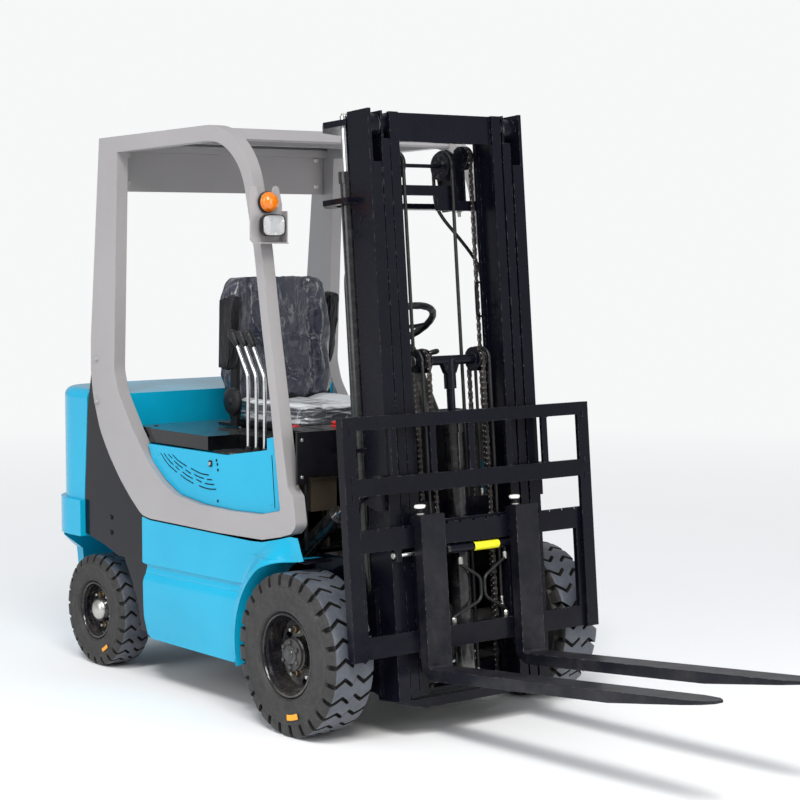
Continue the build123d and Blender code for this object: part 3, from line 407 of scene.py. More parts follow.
def plain_glass(name, col, alpha_rough=0.05, emit=0.0, trans=0.6):
    k = Mat(name)
    c = k.mix(k.ramp(k.noise(50.0, 3.0), [(0.3, 0.0), (0.7, 1.0)]), col, tuple(v * 0.8 for v in col))
    k.set(Base_Color=c, Roughness=k.math("ADD", k.math("MULTIPLY", k.noise(90.0), 0.08), alpha_rough))
    k.b.inputs["Transmission Weight"].default_value = trans
    k.b.inputs["IOR"].default_value = 1.49
    k.b.inputs["Coat Weight"].default_value = 0.5
    if emit:
        k.l(c, k.b.inputs["Emission Color"])
        k.b.inputs["Emission Strength"].default_value = emit
    k.bump([(k.noise(240.0, 2.0), 0.1, 0.0003)], 0.001)
    return k.m


M = {}
M["cyan"] = paint("cyan_paint", (0.001, 0.345, 0.56), (0.003, 0.40, 0.63), spec=0.22, rough=0.20, coat=0.32,
                  peel=0.5, wear=0.15, under=(0.35, 0.6, 0.65), dust=0.10, low=0.34,
                  dust_col=(0.12, 0.46, 0.56))
M["guard"] = paint("guard_paint", (0.335, 0.32, 0.325), (0.375, 0.36, 0.365), rough=0.42, coat=0.15,
                   peel=0.7, wear=0.25, under=(0.6, 0.6, 0.6), dust=0.05, metallic=0.15)
M["black"] = paint("black_paint", (0.0016, 0.0016, 0.0045), (0.003, 0.003, 0.008), spec=0.20, rough=0.13, coat=0.18,
                   wear=0.2, under=(0.10, 0.10, 0.10), dust=0.06, dust_col=(0.09, 0.08, 0.08))
M["mast"] = paint("mast_paint", (0.0018, 0.0019, 0.0050), (0.0040, 0.0043, 0.0095), spec=0.15, rough=0.26, coat=0.06,
                  wear=0.6, under=(0.20, 0.19, 0.19), dust=0.06, dust_col=(0.07, 0.066, 0.07),
                  bevel=0.0016, low=0.9)
M["fork"] = paint("fork_paint", (0.0030, 0.0033, 0.0070), (0.0070, 0.0075, 0.013), spec=0.20, rough=0.30, coat=0.05,
                  wear=0.9, under=(0.34, 0.33, 0.33), dust=0.20, dust_col=(0.10, 0.095, 0.095),
                  bevel=0.003, low=0.9)
M["cylinder"] = paint("cylinder_paint", (0.0025, 0.0025, 0.004), (0.0050, 0.0050, 0.0075), spec=0.3, rough=0.24,
                      coat=0.5, wear=0.4, under=(0.3, 0.3, 0.3), dust=0.25)
M["axle"] = paint("axle_paint", (0.016, 0.016, 0.017), (0.028, 0.028, 0.03), rough=0.5, coat=0.0,
                  wear=0.3, under=(0.2, 0.15, 0.12), dust=0.6, dust_col=(0.16, 0.14, 0.12),
                  grain=240.0, peel=1.0)
M["rim"] = paint("rim_paint", (0.0025, 0.003, 0.007), (0.005, 0.006, 0.011), spec=0.4, rough=0.16, coat=0.35,
                 wear=0.4, under=(0.3, 0.28, 0.26), dust=0.25, dust_col=(0.22, 0.19, 0.15))
M["plastic"] = plastic("black_plastic", (0.003, 0.003, 0.0042), 0.36)
M["cowl"] = plastic("cowl_finish", (0.002, 0.002, 0.0035), 0.28, grain=500.0, bump=0.2, coat=0.05)
M["hood"] = plastic("hood_finish", (0.0018, 0.002, 0.003), 0.12, grain=300.0, bump=0.06, coat=0.35,
                    dust=0.5)
M["tyre"] = rubber("tyre_rubber", (0.020, 0.019, 0.019), (0.034, 0.032, 0.031), 0.58, 0.12)
# groove: the tyre rubber made darker for the cut grooves, painted shade in the recesses
M["groove"] = rubber("groove_painted_shade", (0.008, 0.008, 0.008), (0.016, 0.015, 0.015), 0.85, 0.06)
# tread: the tyre rubber made lighter and bluish for the lug tops, a painted highlight of the light from above
M["tread"] = rubber("tread_top_painted_highlight", (0.062, 0.070, 0.088), (0.096, 0.106, 0.128), 0.36, 0.18)
M["hose"] = rubber("hose_rubber", (0.006, 0.006, 0.007), (0.011, 0.011, 0.012), 0.42, 0.08)
M["chrome"] = steel("chrome_rod", (0.78, 0.79, 0.80), 0.12, (1.0, 1.0, 8.0), bump=0.05)
M["zinc"] = steel("zinc_plate", (0.62, 0.61, 0.57), 0.32, (3.0, 3.0, 3.0), rust=0.15)
M["bronze"] = steel("passivated_nut", (0.55, 0.40, 0.25), 0.33, (3.0, 3.0, 3.0), rust=0.3)
M["chain"] = steel("chain_steel", (0.11, 0.10, 0.095), 0.38, (4.0, 4.0, 4.0), rust=0.25, metallic=0.85)
M["bare"] = steel("bare_steel", (0.42, 0.41, 0.40), 0.35, (3.0, 3.0, 12.0), rust=0.55)
M["amber"] = plain_glass("amber_lens", (1.0, 0.27, 0.008), 0.06, emit=0.06, trans=0.35)
M["lens"] = plain_glass("clear_lens", (0.97, 0.98, 0.99), 0.03, trans=0.94)
M["reflector"] = steel("lamp_reflector", (0.97, 0.97, 0.98), 0.22, (1.0, 1.0, 1.0), metallic=0.5, bump=0.02)
M["red"] = plastic("red_plastic", (0.45, 0.012, 0.01), 0.35, bump=0.1, dust=0.1)
M["white"] = plastic("white_plastic", (0.7, 0.7, 0.66), 0.35, bump=0.1, dust=0.2)
M["brown"] = plastic("controller_case", (0.034, 0.026, 0.017), 0.5, bump=0.3, dust=0.3)
M["yellow"] = plastic("blank_label", (0.86, 0.78, 0.02), 0.3, grain=200.0, bump=0.05, dust=0.1)
M["orange"] = plastic("orange_label", (0.80, 0.30, 0.02), 0.35, grain=200.0, bump=0.05, dust=0.1)
M["roller"] = steel("roller_steel", (0.50, 0.50, 0.49), 0.35, (3.0, 3.0, 3.0), rust=0.05, metallic=0.75)
# slot: in the louvres these dark plates are painted shade of the openings; the same material also serves real dark
# parts: panel gaps, screws, hole plugs and the display face
M["slot"] = plastic("dark_trim_and_louvre_painted_shade", (0.002, 0.004, 0.006), 0.8, bump=0.1, dust=0.0)


# ----------------------------------------------------------------------
# CAD nodes that keep their shape get their finish here
# ----------------------------------------------------------------------
FINISH = {
    "chassis_frame": "black", "battery_block": "black", "counterweight": "cyan", "tow_pin": "zinc",
    "rear_corner_panels": "black", "lower_side_panels": "cyan", "upper_side_panels": "cyan",
    "guard_side_frames": "guard", "guard_roof": "guard", "front_cowl": "cowl",
    "floor_and_pedals": "plastic", "steering_column": "plastic", "hydraulic_levers": "chrome",
    "front_lamps": "plastic", "front_axle": "axle", "rear_axle": "axle", "battery_hood": "hood",
    "seat_base": "plastic", "seat_cushion": "plastic", "seat_backrest": "plastic",
    "steering_wheel": "plastic", "left_knuckle": "axle", "right_knuckle": "axle",
    "left_tie_link": "zinc", "right_tie_link": "zinc", "steer_cylinder_rod": "chrome",
    "outer_mast": "mast", "main_lift_barrels": "cylinder", "intermediate_mast": "mast",
    "main_lift_rods": "chrome", "inner_mast": "mast", "free_lift_barrel": "cylinder",
    "rear_lift_chains": "chain", "lift_crosshead": "mast", "lift_carriage": "mast",
    "front_lift_chains": "chain", "side_shift_frame": "mast", "load_backrest": "mast",
    "left_fork": "fork", "right_fork": "fork", "left_tilt_barrel": "cylinder",
    "right_tilt_barrel": "cylinder", "left_tilt_rod": "chrome", "right_tilt_rod": "chrome",
    "front_left_tyre": "tyre", "front_right_tyre": "tyre", "rear_left_tyre": "tyre",
    "rear_right_tyre": "tyre", "front_left_rim": "rim", "front_right_rim": "rim",
    "rear_left_rim": "rim", "rear_right_rim": "rim", "front_lift_hoses": "hose",
    "rear_lift_hoses": "hose", "carriage_hoses": "hose", "cowl_equipment": "brown",
    "main_chain_front_runs": "chain", "main_chain_rear_runs": "chain",
    "main_hose_front_runs": "hose", "main_hose_rear_runs": "hose",
}
for node, obj in NODES.items():
    key = FINISH.get(node, "plastic")
    if not obj.material_slots:
        obj.data.materials.append(M[key])
    for s in obj.material_slots:
        s.material = M[key]


# ----------------------------------------------------------------------
# mesh builder
# ----------------------------------------------------------------------
class Build:
    """Collects closed shapes, drawn in V or M, into one object."""

    def __init__(self, frame_name="V"):
        self.conv = from_v if frame_name == "V" else from_m
        self.v, self.f, self.mi, self.sm = [], [], [], []
        self.mats = []

    def mat(self, key):
        if key not in self.mats:
            self.mats.append(key)
        return self.mats.index(key)

    def add(self, verts, faces, mat, smooth=False):
        o = len(self.v)
        self.v += [tuple(p) for p in verts]
        self.f += [tuple(i + o for i in f) for f in faces]
        self.mi += [self.mat(mat)] * len(faces)
        self.sm += [smooth] * len(faces)

    def box(self, lo, hi, mat, bev=0.001, turn=None, about=None):
        """Box with chamfered edges."""
        lo, hi = (Vector([min(a, q) for a, q in zip(lo, hi)]), Vector([max(a, q) for a, q in zip(lo, hi)]))
        c = (lo + hi) / 2
        h = (hi - lo) / 2
        b = min(bev, min(h) * 0.9)
        pts, idx = [], {}
        for sx in (-1, 1):
            for sy in (-1, 1):
                for sz in (-1, 1):
                    for ax in range(3):
                        p = [sx * h[0], sy * h[1], sz * h[2]]
                        for k in range(3):
                            if k != ax:
                                p[k] -= (sx, sy, sz)[k] * b
                        idx[(sx, sy, sz, ax)] = len(pts)
                        pts.append(Vector(p) + c)
        faces = []
        for ax in range(3):
            o1, o2 = [(1, 2), (2, 0), (0, 1)][ax]
            for s in (-1, 1):
                ring = []
                for a, bb in ((-1, -1), (1, -1), (1, 1), (-1, 1)):
                    key = [0, 0, 0]
                    key[ax], key[o1], key[o2] = s, a, bb
                    ring.append(idx[(key[0], key[1], key[2], ax)])
                faces.append(ring if s > 0 else ring[::-1])
        for ax in range(3):
            o1, o2 = [(1, 2), (2, 0), (0, 1)][ax]
            for a in (-1, 1):
                for bb in (-1, 1):
                    k0, k1 = [0, 0, 0], [0, 0, 0]
                    k0[ax], k0[o1], k0[o2] = -1, a, bb
                    k1[ax], k1[o1], k1[o2] = 1, a, bb
                    q = [idx[(*k0, o1)], idx[(*k1, o1)], idx[(*k1, o2)], idx[(*k0, o2)]]
                    faces.append(q if a * bb < 0 else q[::-1])
        for sx in (-1, 1):
            for sy in (-1, 1):
                for sz in (-1, 1):
                    q = [idx[(sx, sy, sz, 0)], idx[(sx, sy, sz, 1)], idx[(sx, sy, sz, 2)]]
                    faces.append(q if sx * sy * sz > 0 else q[::-1])
        if turn is not None:
            pv = Vector(about) if about is not None else c
            pts = [turn @ (p - pv) + pv for p in pts]
        self.add(pts, faces, mat)

    def rings(self, rings, mat, smooth=True, cap=True, closed=False):
        """Skin through rings of equal length."""
        n = len(rings[0])
        verts = [p for r in rings for p in r]
        faces = []
        m = len(rings)
        for i in range(m if closed else m - 1):
            a, b = i * n, ((i + 1) % m) * n
            for k in range(n):
                k2 = (k + 1) % n
                faces.append((a + k, a + k2, b + k2, b + k))
        if cap and not closed:
            faces.append(tuple(range(n))[::-1])
            faces.append(tuple((m - 1) * n + k for k in range(n)))
        self.add(verts, faces, mat, smooth)

    def lathe(self, centre, axis, prof, n, mat, smooth=True, cap=True, phase=0.0):
        """prof: (radius, offset along axis)."""
        a = Vector(axis).normalized()
        u = a.orthogonal().normalized()
        w = a.cross(u)
        c = Vector(centre)
        rr = []
        for r, h in prof:
            rr.append([c + a * h + (u * math.cos(t) + w * math.sin(t)) * r
                       for t in (phase + 2 * math.pi * k / n for k in range(n))])
        self.rings(rr, mat, smooth, cap)

    def bolt(self, p, axis, r, h=None, mat="zinc", washer=True, stud=False):
        """Hexagon head on a washer."""
        h = h or r * 0.8
        o = 0.0
        if washer:
            self.lathe(p, axis, [(r * 1.28, -0.001), (r * 1.28, r * 0.16), (r * 1.2, r * 0.2)], 20, mat)
            o = r * 0.18
        self.lathe(p, axis, [(r, o), (r, o + h * 0.8), (r * 0.86, o + h)], 6, mat, smooth=False)
        if stud:
            self.lathe(p, axis, [(r * 0.55, o + h), (r * 0.55, o + h * 1.6), (r * 0.42, o + h * 1.75)],
                       14, mat)

    def tube(self, pts, r, mat, n=12, smooth=True, cap=True, closed=False):
        pts = [Vector(p) for p in pts]
        m = len(pts)
        tang = []
        for i in range(m):
            if closed:
                d = pts[(i + 1) % m] - pts[i - 1]
            else:
                d = pts[min(i + 1, m - 1)] - pts[max(i - 1, 0)]
            tang.append(d.normalized())
        u = tang[0].orthogonal().normalized()
        rr = []
        for i in range(m):
            u = (u - tang[i] * u.dot(tang[i])).normalized()
            w = tang[i].cross(u)
            ri = r[i] if isinstance(r, (list, tuple)) else r
            rr.append([pts[i] + (u * math.cos(2 * math.pi * k / n) + w * math.sin(2 * math.pi * k / n)) * ri
                       for k in range(n)])
        self.rings(rr, mat, smooth, cap, closed)

    def make(self, name, body=None, angle=None):
        me = bpy.data.meshes.new(name)
        me.from_pydata([self.conv(p) for p in self.v], [], self.f)
        for k in self.mats:
            me.materials.append(M[k])
        me.polygons.foreach_set("material_index", self.mi)
        me.polygons.foreach_set("use_smooth", self.sm)
        me.update()
        bm = bmesh.new()
        bm.from_mesh(me)
        bmesh.ops.recalc_face_normals(bm, faces=bm.faces)
        bm.to_mesh(me)
        bm.free()
        if angle:
            me.set_sharp_from_angle(angle=math.radians(angle))
        ob = bpy.data.objects.new(name, me)
        bpy.context.scene.collection.objects.link(ob)
        if body:
            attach(ob, body)
        return ob


def spline(pts, per=8, closed=False):
    """Smooth run through points (Catmull-Rom)."""
    p = [Vector(q) for q in pts]
    out = []
    n = len(p)
    rng = range(n if closed else n - 1)
    for i in rng:
        if closed:
            a, b, c, d = p[i - 1], p[i], p[(i + 1) % n], p[(i + 2) % n]
        else:
            a, b, c, d = p[max(i - 1, 0)], p[i], p[i + 1], p[min(i + 2, n - 1)]
        for k in range(per):
            t = k / per
            out.append(0.5 * ((2 * b) + (c - a) * t + (2 * a - 5 * b + 4 * c - d) * t * t
                              + (3 * b - a - 3 * c + d) * t ** 3))
    if not closed:
        out.append(p[-1])
    return out


# ----------------------------------------------------------------------
# wheels: tread, sidewall rings, nuts
# ----------------------------------------------------------------------
def smooth01(x):
    x = min(1.0, max(0.0, x))
    return x * x * (3 - 2 * x)


def tyre_piece(name, body, node, centre, R, W, rb, lugs, side, seed):
    """Tyre with lugs cut through the tread and down the shoulder. Every ring
    of points is sheared with the grooves, so their edges stay crisp."""
    h = W / 2
    S = R - rb
    big = R > 0.25
    face = 0.044 if big else 0.032
    rd = 0.018 if big else 0.013
    prof = []

    def seg(a, b, n):
        for k in range(n):
            t = k / n
            prof.append((a[0] + (b[0] - a[0]) * t, a[1] + (b[1] - a[1]) * t))
    lug_r = R - face
    seg((rb, h - 0.018), (rb + 0.006, h - 0.006), 2)
    seg((rb + 0.006, h - 0.006), (rb + 0.012, h - 0.0035), 2)
    seg((rb + 0.012, h - 0.0015), (rb + 0.020, h - 0.0005), 1)
    seg((rb + 0.021, h - 0.0035), (rb + 0.28 * S, h - 0.0025), 2)
    seg((rb + 0.30 * S, h - 0.0025), (lug_r - 0.008, h - 0.0035), 5)
    seg((lug_r - 0.007, h - 0.0010), (lug_r - 0.003, h - 0.0008), 1)
    seg((lug_r - 0.002, h - 0.0040), (lug_r, h - 0.0045), 1)
    seg((lug_r + 0.003, h - 0.0040), (R - 0.018, h - 0.0065), 4)
    seg((R - 0.017, h - 0.0075), (R - 0.0045, h - 0.0125), 2)
    seg((R - 0.0030, h - 0.0150), (R - 0.0010, h - 0.0200), 2)
    wt = h - 0.0200
    n_half = 13
    for k in range(1, n_half):
        u = 1 - k / n_half
        prof.append((R - 0.0010 * u * u, wt * u))
    half = list(prof)
    pr = np.array(half + [(R, 0.0)] + [(r, -w) for r, w in half[::-1]])
    NP = len(pr)
    pitch = 2 * math.pi / lugs
    amp = 0.37 * pitch

    def zig(a):
        if a >= 0.95 or a <= 0.08:
            return 0.0
        return (0.95 - a) / 0.45 if a > 0.5 else (a - 0.08) / 0.42

    def off(u):
        if u > 0.08:
            return amp * zig(u)
        if u < -0.08:
            return 0.5 * pitch - amp * zig(-u)
        return 0.25 * pitch * (1 - u / 0.08)
    body_n = 7
    NS = 4 + body_n
    NA = NS * lugs
    v = np.zeros((NA, NP, 3))
    tang = np.gradient(pr, axis=0)
    top = np.zeros((NA, NP), bool)
    rng = np.random.default_rng(seed)
    for j in range(NP):
        r, w = pr[j]
        t = tang[j] / max(1e-9, np.linalg.norm(tang[j]))
        nr, nw = t[1], -t[0]
        if nr < 0 or (abs(nr) < 0.2 and nw * w < 0):
            nr, nw = -nr, -nw
        u = w / (h - 0.012)
        au = abs(u)
        g = 0.080 if au > 0.10 else 0.014
        e = 0.040 if au > 0.10 else 0.012
        if r < R - 0.004:
            g, e = 0.122, 0.026
        on = smooth01((r - lug_r + 0.001) / 0.006)
        deep = (rd if au > 0.10 else rd * 0.5) if r > R - 0.004 else rd * 0.9
        ts = [-(g + e), -g, g, g + e] + [g + e + (1 - 2 * (g + e)) * (q + 1) / (body_n + 1) for q in range(body_n)]
        for k in range(lugs):
            for q in range(NS):
                a = (k + ts[q]) * pitch + off(max(-1.0, min(1.0, u)))
                d = deep * on if q in (1, 2) else 0.0
                if q in (0, 3) and r > R - 0.0025:
                    d = 0.0006
                rr, ww = r - nr * d, w - nw * d
                v[k * NS + q, j] = (rr * math.cos(a), side * ww, rr * math.sin(a))
        top[:, j] = r > R - 0.004
    v += rng.normal(0, 0.00008, v.shape)
    vv = (v + np.array(centre)).reshape(-1, 3)
    b = Build("V")
    tops, rest, deepf = [], [], []
    for i in range(NA):
        i2 = (i + 1) % NA
        for j in range(NP - 1):
            f = (i * NP + j, i * NP + j + 1, i2 * NP + j + 1, i2 * NP + j)
            land = i % NS >= 3 or False
            cutf = i % NS in (0, 1, 2) and pr[j, 0] > lug_r + 0.002 and pr[j + 1, 0] > lug_r + 0.002
            if cutf:
                deepf.append(f)
            else:
                (tops if (top[i, j] and top[i, j + 1] and land) else rest).append(f)
        rest.append((i * NP + NP - 1, i * NP, i2 * NP, i2 * NP + NP - 1))
    b.add([tuple(p) for p in vv], rest, "tyre", True)
    # cut groove faces take the groove material: painted shade
    b.f += deepf
    b.mi += [b.mat("groove")] * len(deepf)
    b.sm += [True] * len(deepf)
    # lug tops take the tread material: painted highlight
    b.f += tops
    b.mi += [b.mat("tread")] * len(tops)
    b.sm += [True] * len(tops)
    ob = b.make(name, body, angle=32)
    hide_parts(node)
    return ob


WHEELS = [
    ("front_left", (0, .531, .288), 0.288, 0.189, 0.150, 26, 1, "front_left_wheel"),
    ("front_right", (0, -.531, .288), 0.288, 0.189, 0.150, 26, -1, "front_right_wheel"),
    ("rear_left", (-1.447, .453, .225), 0.225, 0.150, 0.116, 24, 1, "rear_left_wheel"),
    ("rear_right", (-1.447, -.453, .225), 0.225, 0.150, 0.116, 24, -1, "rear_right_wheel"),
]
for k, (nm, c, R, W, rb, lugs, sd, body) in enumerate(WHEELS):
    tyre_piece(nm + "_treaded_tyre", body, nm + "_tyre", c, R, W, rb, lugs, sd, 11 + k)
    b = Build("V")
    ax = (0, sd, 0)
    front = R > 0.25
    # rolled bead lip and lock ring of the rim
    rl = rb - 0.001
    b.lathe((c[0], c[1], c[2]), ax,
            [(rl - 0.010, W / 2 - 0.030), (rl - 0.002, W / 2 - 0.022), (rl + 0.0005, W / 2 - 0.016),
             (rl - 0.002, W / 2 - 0.011), (rl - 0.008, W / 2 - 0.010), (rl - 0.012, W / 2 - 0.016),
             (rl - 0.012, W / 2 - 0.024)], 72, "rim", cap=False)
    if front:
        for q in range(6):
            a = math.radians(60 * q + 2)
            p = Vector((c[0] + 0.090 * math.cos(a), c[1] - sd * 0.003, c[2] + 0.090 * math.sin(a)))
            b.bolt(p, ax, 0.0135, 0.014, "bronze", True, False)
            b.lathe(p, ax, [(0.0075, 0.014), (0.0075, 0.034), (0.0062, 0.036)], 14, "zinc")
        # splined hub end: body, cap and bolts
        b.lathe((c[0], c[1], c[2]), ax,
                [(0.052, 0.040), (0.056, 0.052), (0.056, 0.060), (0.052, 0.063), (0.034, 0.063)], 40, "axle")
        b.lathe((c[0], c[1], c[2]), ax,
                [(0.035, 0.060), (0.035, 0.066), (0.032, 0.069), (0.020, 0.069), (0.018, 0.072),
                 (0.004, 0.073)], 32, "cylinder")
        for q in range(6):
            a = math.radians(60 * q + 30)
            p = Vector((c[0] + 0.045 * math.cos(a), c[1] + sd * 0.0625, c[2] + 0.045 * math.sin(a)))
            b.bolt(p, ax, 0.0085, 0.008, "cylinder", False)
    else:
        for q in range(5):
            a = math.radians(72 * q + 54)
            p = Vector((c[0] + 0.066 * math.cos(a), c[1] + sd * 0.010, c[2] + 0.066 * math.sin(a)))
            b.bolt(p, ax, 0.0115, 0.012, "bronze", True, False)
            b.lathe(p, ax, [(0.0062, 0.012), (0.0062, 0.026), (0.005, 0.028)], 14, "zinc")
        b.lathe((c[0], c[1], c[2]), ax,
                [(0.046, 0.034), (0.046, 0.044), (0.040, 0.056), (0.030, 0.0635), (0.016, 0.068),
                 (0.002, 0.0695)], 40, "zinc")
    # printed blank patch on the sidewall
    a0 = math.radians(-76 if front else -58)
    rr = rb + 0.47 * (R - rb)
    n = 10
    ring = []
    wd = 0.010 if front else 0.007
    for q in range(n + 1):
        a = a0 + (q / n - 0.5) * (0.30 if front else 0.28)
        ring.append([(c[0] + (rr + s * wd) * math.cos(a), c[1] + sd * (W / 2 + 0.0012 + 0.0002 * (s == 0)),
                      c[2] + (rr + s * wd) * math.sin(a)) for s in (-1, 0, 1)])
    verts = [p for r in ring for p in r]
    faces = []
    for q in range(n):
        for s in range(2):
            faces.append((q * 3 + s, q * 3 + s + 1, q * 3 + 4 + s, q * 3 + 3 + s))
    b.add(verts, faces, "orange", True)
    b.make(nm + "_wheel_fittings", body, angle=40)

# ----------------------------------------------------------------------
# lift chains and their sheaves
# ----------------------------------------------------------------------
FX, SHZ = 0.234, 1.297
PITCH = 0.0195


def leaf_chain(b, path, y, plates=5, pitch=PITCH, hgt=0.0145, mat="chain", start=0.0):
    """Leaf chain along a path of points in the X-Z plane of the mast."""
    pts = [Vector((p[0], 0, p[1])) for p in path]
    seg = [0.0]
    for i in range(1, len(pts)):
        seg.append(seg[-1] + (pts[i] - pts[i - 1]).length)

    def at(s):
        s = min(max(s, 0.0), seg[-1])
        i = max(k for k in range(len(seg)) if seg[k] <= s + 1e-9)
        i = min(i, len(seg) - 2)
        t = (s - seg[i]) / max(1e-9, seg[i + 1] - seg[i])
        return pts[i].lerp(pts[i + 1], t)
    n = int((seg[-1] - start) / pitch)
    th = 0.0021
    for k in range(n):
        p0, p1 = at(start + k * pitch), at(start + (k + 1) * pitch)
        d = (p1 - p0)
        if d.length < 1e-6:
            continue
        d.normalize()
        up = Vector((0, 1, 0)).cross(d)
        mid = (p0 + p1) / 2
        outline = []
        L = pitch * 0.5
        r = hgt / 2
        for a in (-90, -45, 0, 45, 90):
            t = math.radians(a)
            outline.append(mid + d * (L + r * 0.95 * math.cos(t) - r * 0.12) + up * (r * math.sin(t)))
        outline.append(mid + up * r * 0.78)
        for a in (90, 135, 180, 225, 270):
            t = math.radians(a)
            outline.append(mid + d * (-L + r * 0.95 * math.cos(t) + r * 0.12) + up * (r * math.sin(t)))
        outline.append(mid - up * r * 0.78)
        offs = (-2, 0, 2) if k % 2 == 0 else (-1, 1)
        for q in offs:
            yy = y + q * (th + 0.0004)
            ra = [Vector((p.x, yy - th / 2, p.z)) for p in outline]
            rb_ = [Vector((p.x, yy + th / 2, p.z)) for p in outline]
            b.rings([ra, rb_], mat, smooth=False)
        b.lathe((p0.x, y - 0.0078, p0.z), (0, 1, 0), [(0.0032, 0), (0.0036, 0.0006), (0.0036, 0.0150),
                                                     (0.0032, 0.0156)], 8, "bare")


def arc(cx, cz, r, a0, a1, n):
    return [(cx + r * math.cos(math.radians(a0 + (a1 - a0) * k / n)),
             cz + r * math.sin(math.radians(a0 + (a1 - a0) * k / n))) for k in range(n + 1)]


RC = 0.0385
for s, nm in ((1, "left"), (-1, "right")):
    y = s * 0.126
    b = Build("M")
    leaf_chain(b, [(FX + RC, 0.372), (FX + RC, SHZ)], y)
    o = b.make(nm + "_front_chain_run", None)
    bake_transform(o)
    if s > 0:
        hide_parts("front_lift_chains")
    b = Build("M")
    leaf_chain(b, [(FX - RC, 0.806), (FX - RC, SHZ)], y)
    o = b.make(nm + "_rear_chain_run", None)
    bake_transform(o)
    if s > 0:
        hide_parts("rear_lift_chains")
    b = Build("M")
    leaf_chain(b, arc(FX, SHZ, RC, 0, 180, 40), y)
    # hub, rim and bolt of the chain sheave
    for q in (-1, 1):
        b.lathe((FX, y, SHZ), (0, q, 0), [(0.0425, 0.0120), (0.0435, 0.0135), (0.0430, 0.0162),
                                         (0.036, 0.0168), (0.034, 0.0158), (0.024, 0.0158),
                                         (0.022, 0.0180), (0.0175, 0.0180)], 48, "mast")
    b.lathe((FX, s * 0.168, SHZ), (0, s, 0), [(0.020, 0.0), (0.020, 0.003), (0.0165, 0.005), (0.004, 0.0055)],
            24, "bare")
    b.make(nm + "_sheave_chain", "lift_crosshead", angle=40)

# ----------------------------------------------------------------------
# louvres, lock, seams and screws on the cyan panels
# ----------------------------------------------------------------------
DASHES = [
    [(-0.93, 0.9095), (-0.9056, 0.8896), (-0.8813, 0.8726), (-0.8535, 0.8599), (-0.819, 0.8469)],
    [(-0.7915, 0.839), (-0.7642, 0.8283), (-0.7336, 0.8209), (-0.7065, 0.815)],
    [(-0.6661, 0.8096), (-0.6327, 0.8055), (-0.5962, 0.8044), (-0.5566, 0.8075)],
    [(-0.9053, 0.9097), (-0.8776, 0.8892), (-0.8429, 0.8732)], [(-0.8257, 0.8672), (-0.8016, 0.857)],
    [(-0.7776, 0.8507), (-0.747, 0.8404), (-0.7114, 0.8325)], [(-0.6844, 0.8313), (-0.6509, 0.8252)],
    [(-0.6276, 0.8228), (-0.5994, 0.8218), (-0.5696, 0.8238)], [(-0.8773, 0.9093), (-0.8513, 0.8963)],
    [(-0.8358, 0.8872), (-0.8083, 0.8754), (-0.7791, 0.8667)], [(-0.757, 0.8602), (-0.7231, 0.8502)],
    [(-0.6994, 0.8496), (-0.6691, 0.8431), (-0.6357, 0.8398)], [(-0.6141, 0.8381), (-0.5827, 0.8402)],
    [(-0.8459, 0.9101), (-0.8184, 0.8954), (-0.7875, 0.8849), (-0.7517, 0.8759)],
    [(-0.7211, 0.8702), (-0.6857, 0.8622), (-0.6489, 0.8563), (-0.604, 0.8559)]]


def slot_path(b, pts, hw, y, side):
    """Dark slot along a bent line, with a rolled lip round it. The dark plate is painted shade for the shaded inside of
    the louvre opening.
    """
    p = [Vector((q[0], y, q[1])) for q in pts]
    nrm = []
    for i in range(len(p)):
        d = (p[min(i + 1, len(p) - 1)] - p[max(i - 1, 0)]).normalized()
        nrm.append(Vector((0, 1, 0)).cross(d))

    def ring(r, o):
        out = [p[i] + nrm[i] * r for i in range(len(p))]
        d = nrm[-1].cross(Vector((0, 1, 0)))
        for k in range(1, 6):
            t = math.pi * k / 6
            out.append(p[-1] + nrm[-1] * r * math.cos(t) + d * r * math.sin(t))
        out += [p[i] - nrm[i] * r for i in range(len(p) - 1, -1, -1)]
        d = -nrm[0].cross(Vector((0, 1, 0)))
        for k in range(1, 6):
            t = math.pi * k / 6
            out.append(p[0] - nrm[0] * r * math.cos(t) + d * r * math.sin(t))
        return [q + Vector((0, side * o, 0)) for q in out]
    # dark plate near flush with the skin: painted shade of the louvre opening
    b.rings([ring(hw, -0.0004), ring(hw, 0.0005)], "slot", smooth=False)
    b.rings([ring(hw * 1.9, -0.0003), ring(hw * 1.5, 0.0009), ring(hw * 1.05, 0.0010),
             ring(hw * 0.95, 0.0003)], "cyan", smooth=True, cap=False)


def side_details(s, nm):
    b = Build("V")
    yp = s * 0.528
    for d in DASHES:
        slot_path(b, [(q.x, q.z) for q in spline([(x, 0, z) for x, z in d], 4)], 0.0023, yp, s)
    lx, lz = -0.590, 0.900
    b.box((lx - 0.010, yp - 0.001, lz - 0.012), (lx + 0.010, yp + s * 0.0045, lz + 0.012), "plastic", 0.0015)
    b.lathe((lx, yp + s * 0.004, lz), (0, s, 0), [(0.0065, 0), (0.0065, 0.003), (0.0055, 0.004), (0.001, 0.004)],
            28, "zinc")
    for x, z in ((-0.552, 0.915), (-0.546, 0.901), (-0.543, 0.880), (-0.544, 0.765), (-0.205, 0.79),
                 (-0.205, 0.955), (-0.945, 0.905)):
        b.lathe((x, yp, z), (0, s, 0), [(0.0055, -0.0005), (0.0055, 0.0008), (0.0042, 0.0020), (0.001, 0.0022)],
                18, "slot" if x > -0.56 and x < -0.5 else "cyan")
    b.tube([(-0.202, yp + s * 0.0002, 0.965), (-0.184, yp + s * 0.0002, 0.778)], 0.0016, "slot", 8)
    b.make(nm + "_panel_details", "chassis", angle=40)


side_details(-1, "right")
side_details(1, "left")

# ----------------------------------------------------------------------
# main chains and hoses of the outer stages
# ----------------------------------------------------------------------
PH, PC = (0.122, 2.000), (0.136, 2.030)


def hose_arc(b, cx, cz, r, y, rad, mat="hose"):
    b.tube([(x, y, z) for x, z in arc(cx, cz, r, 0, 180, 28)], rad, mat, 12)


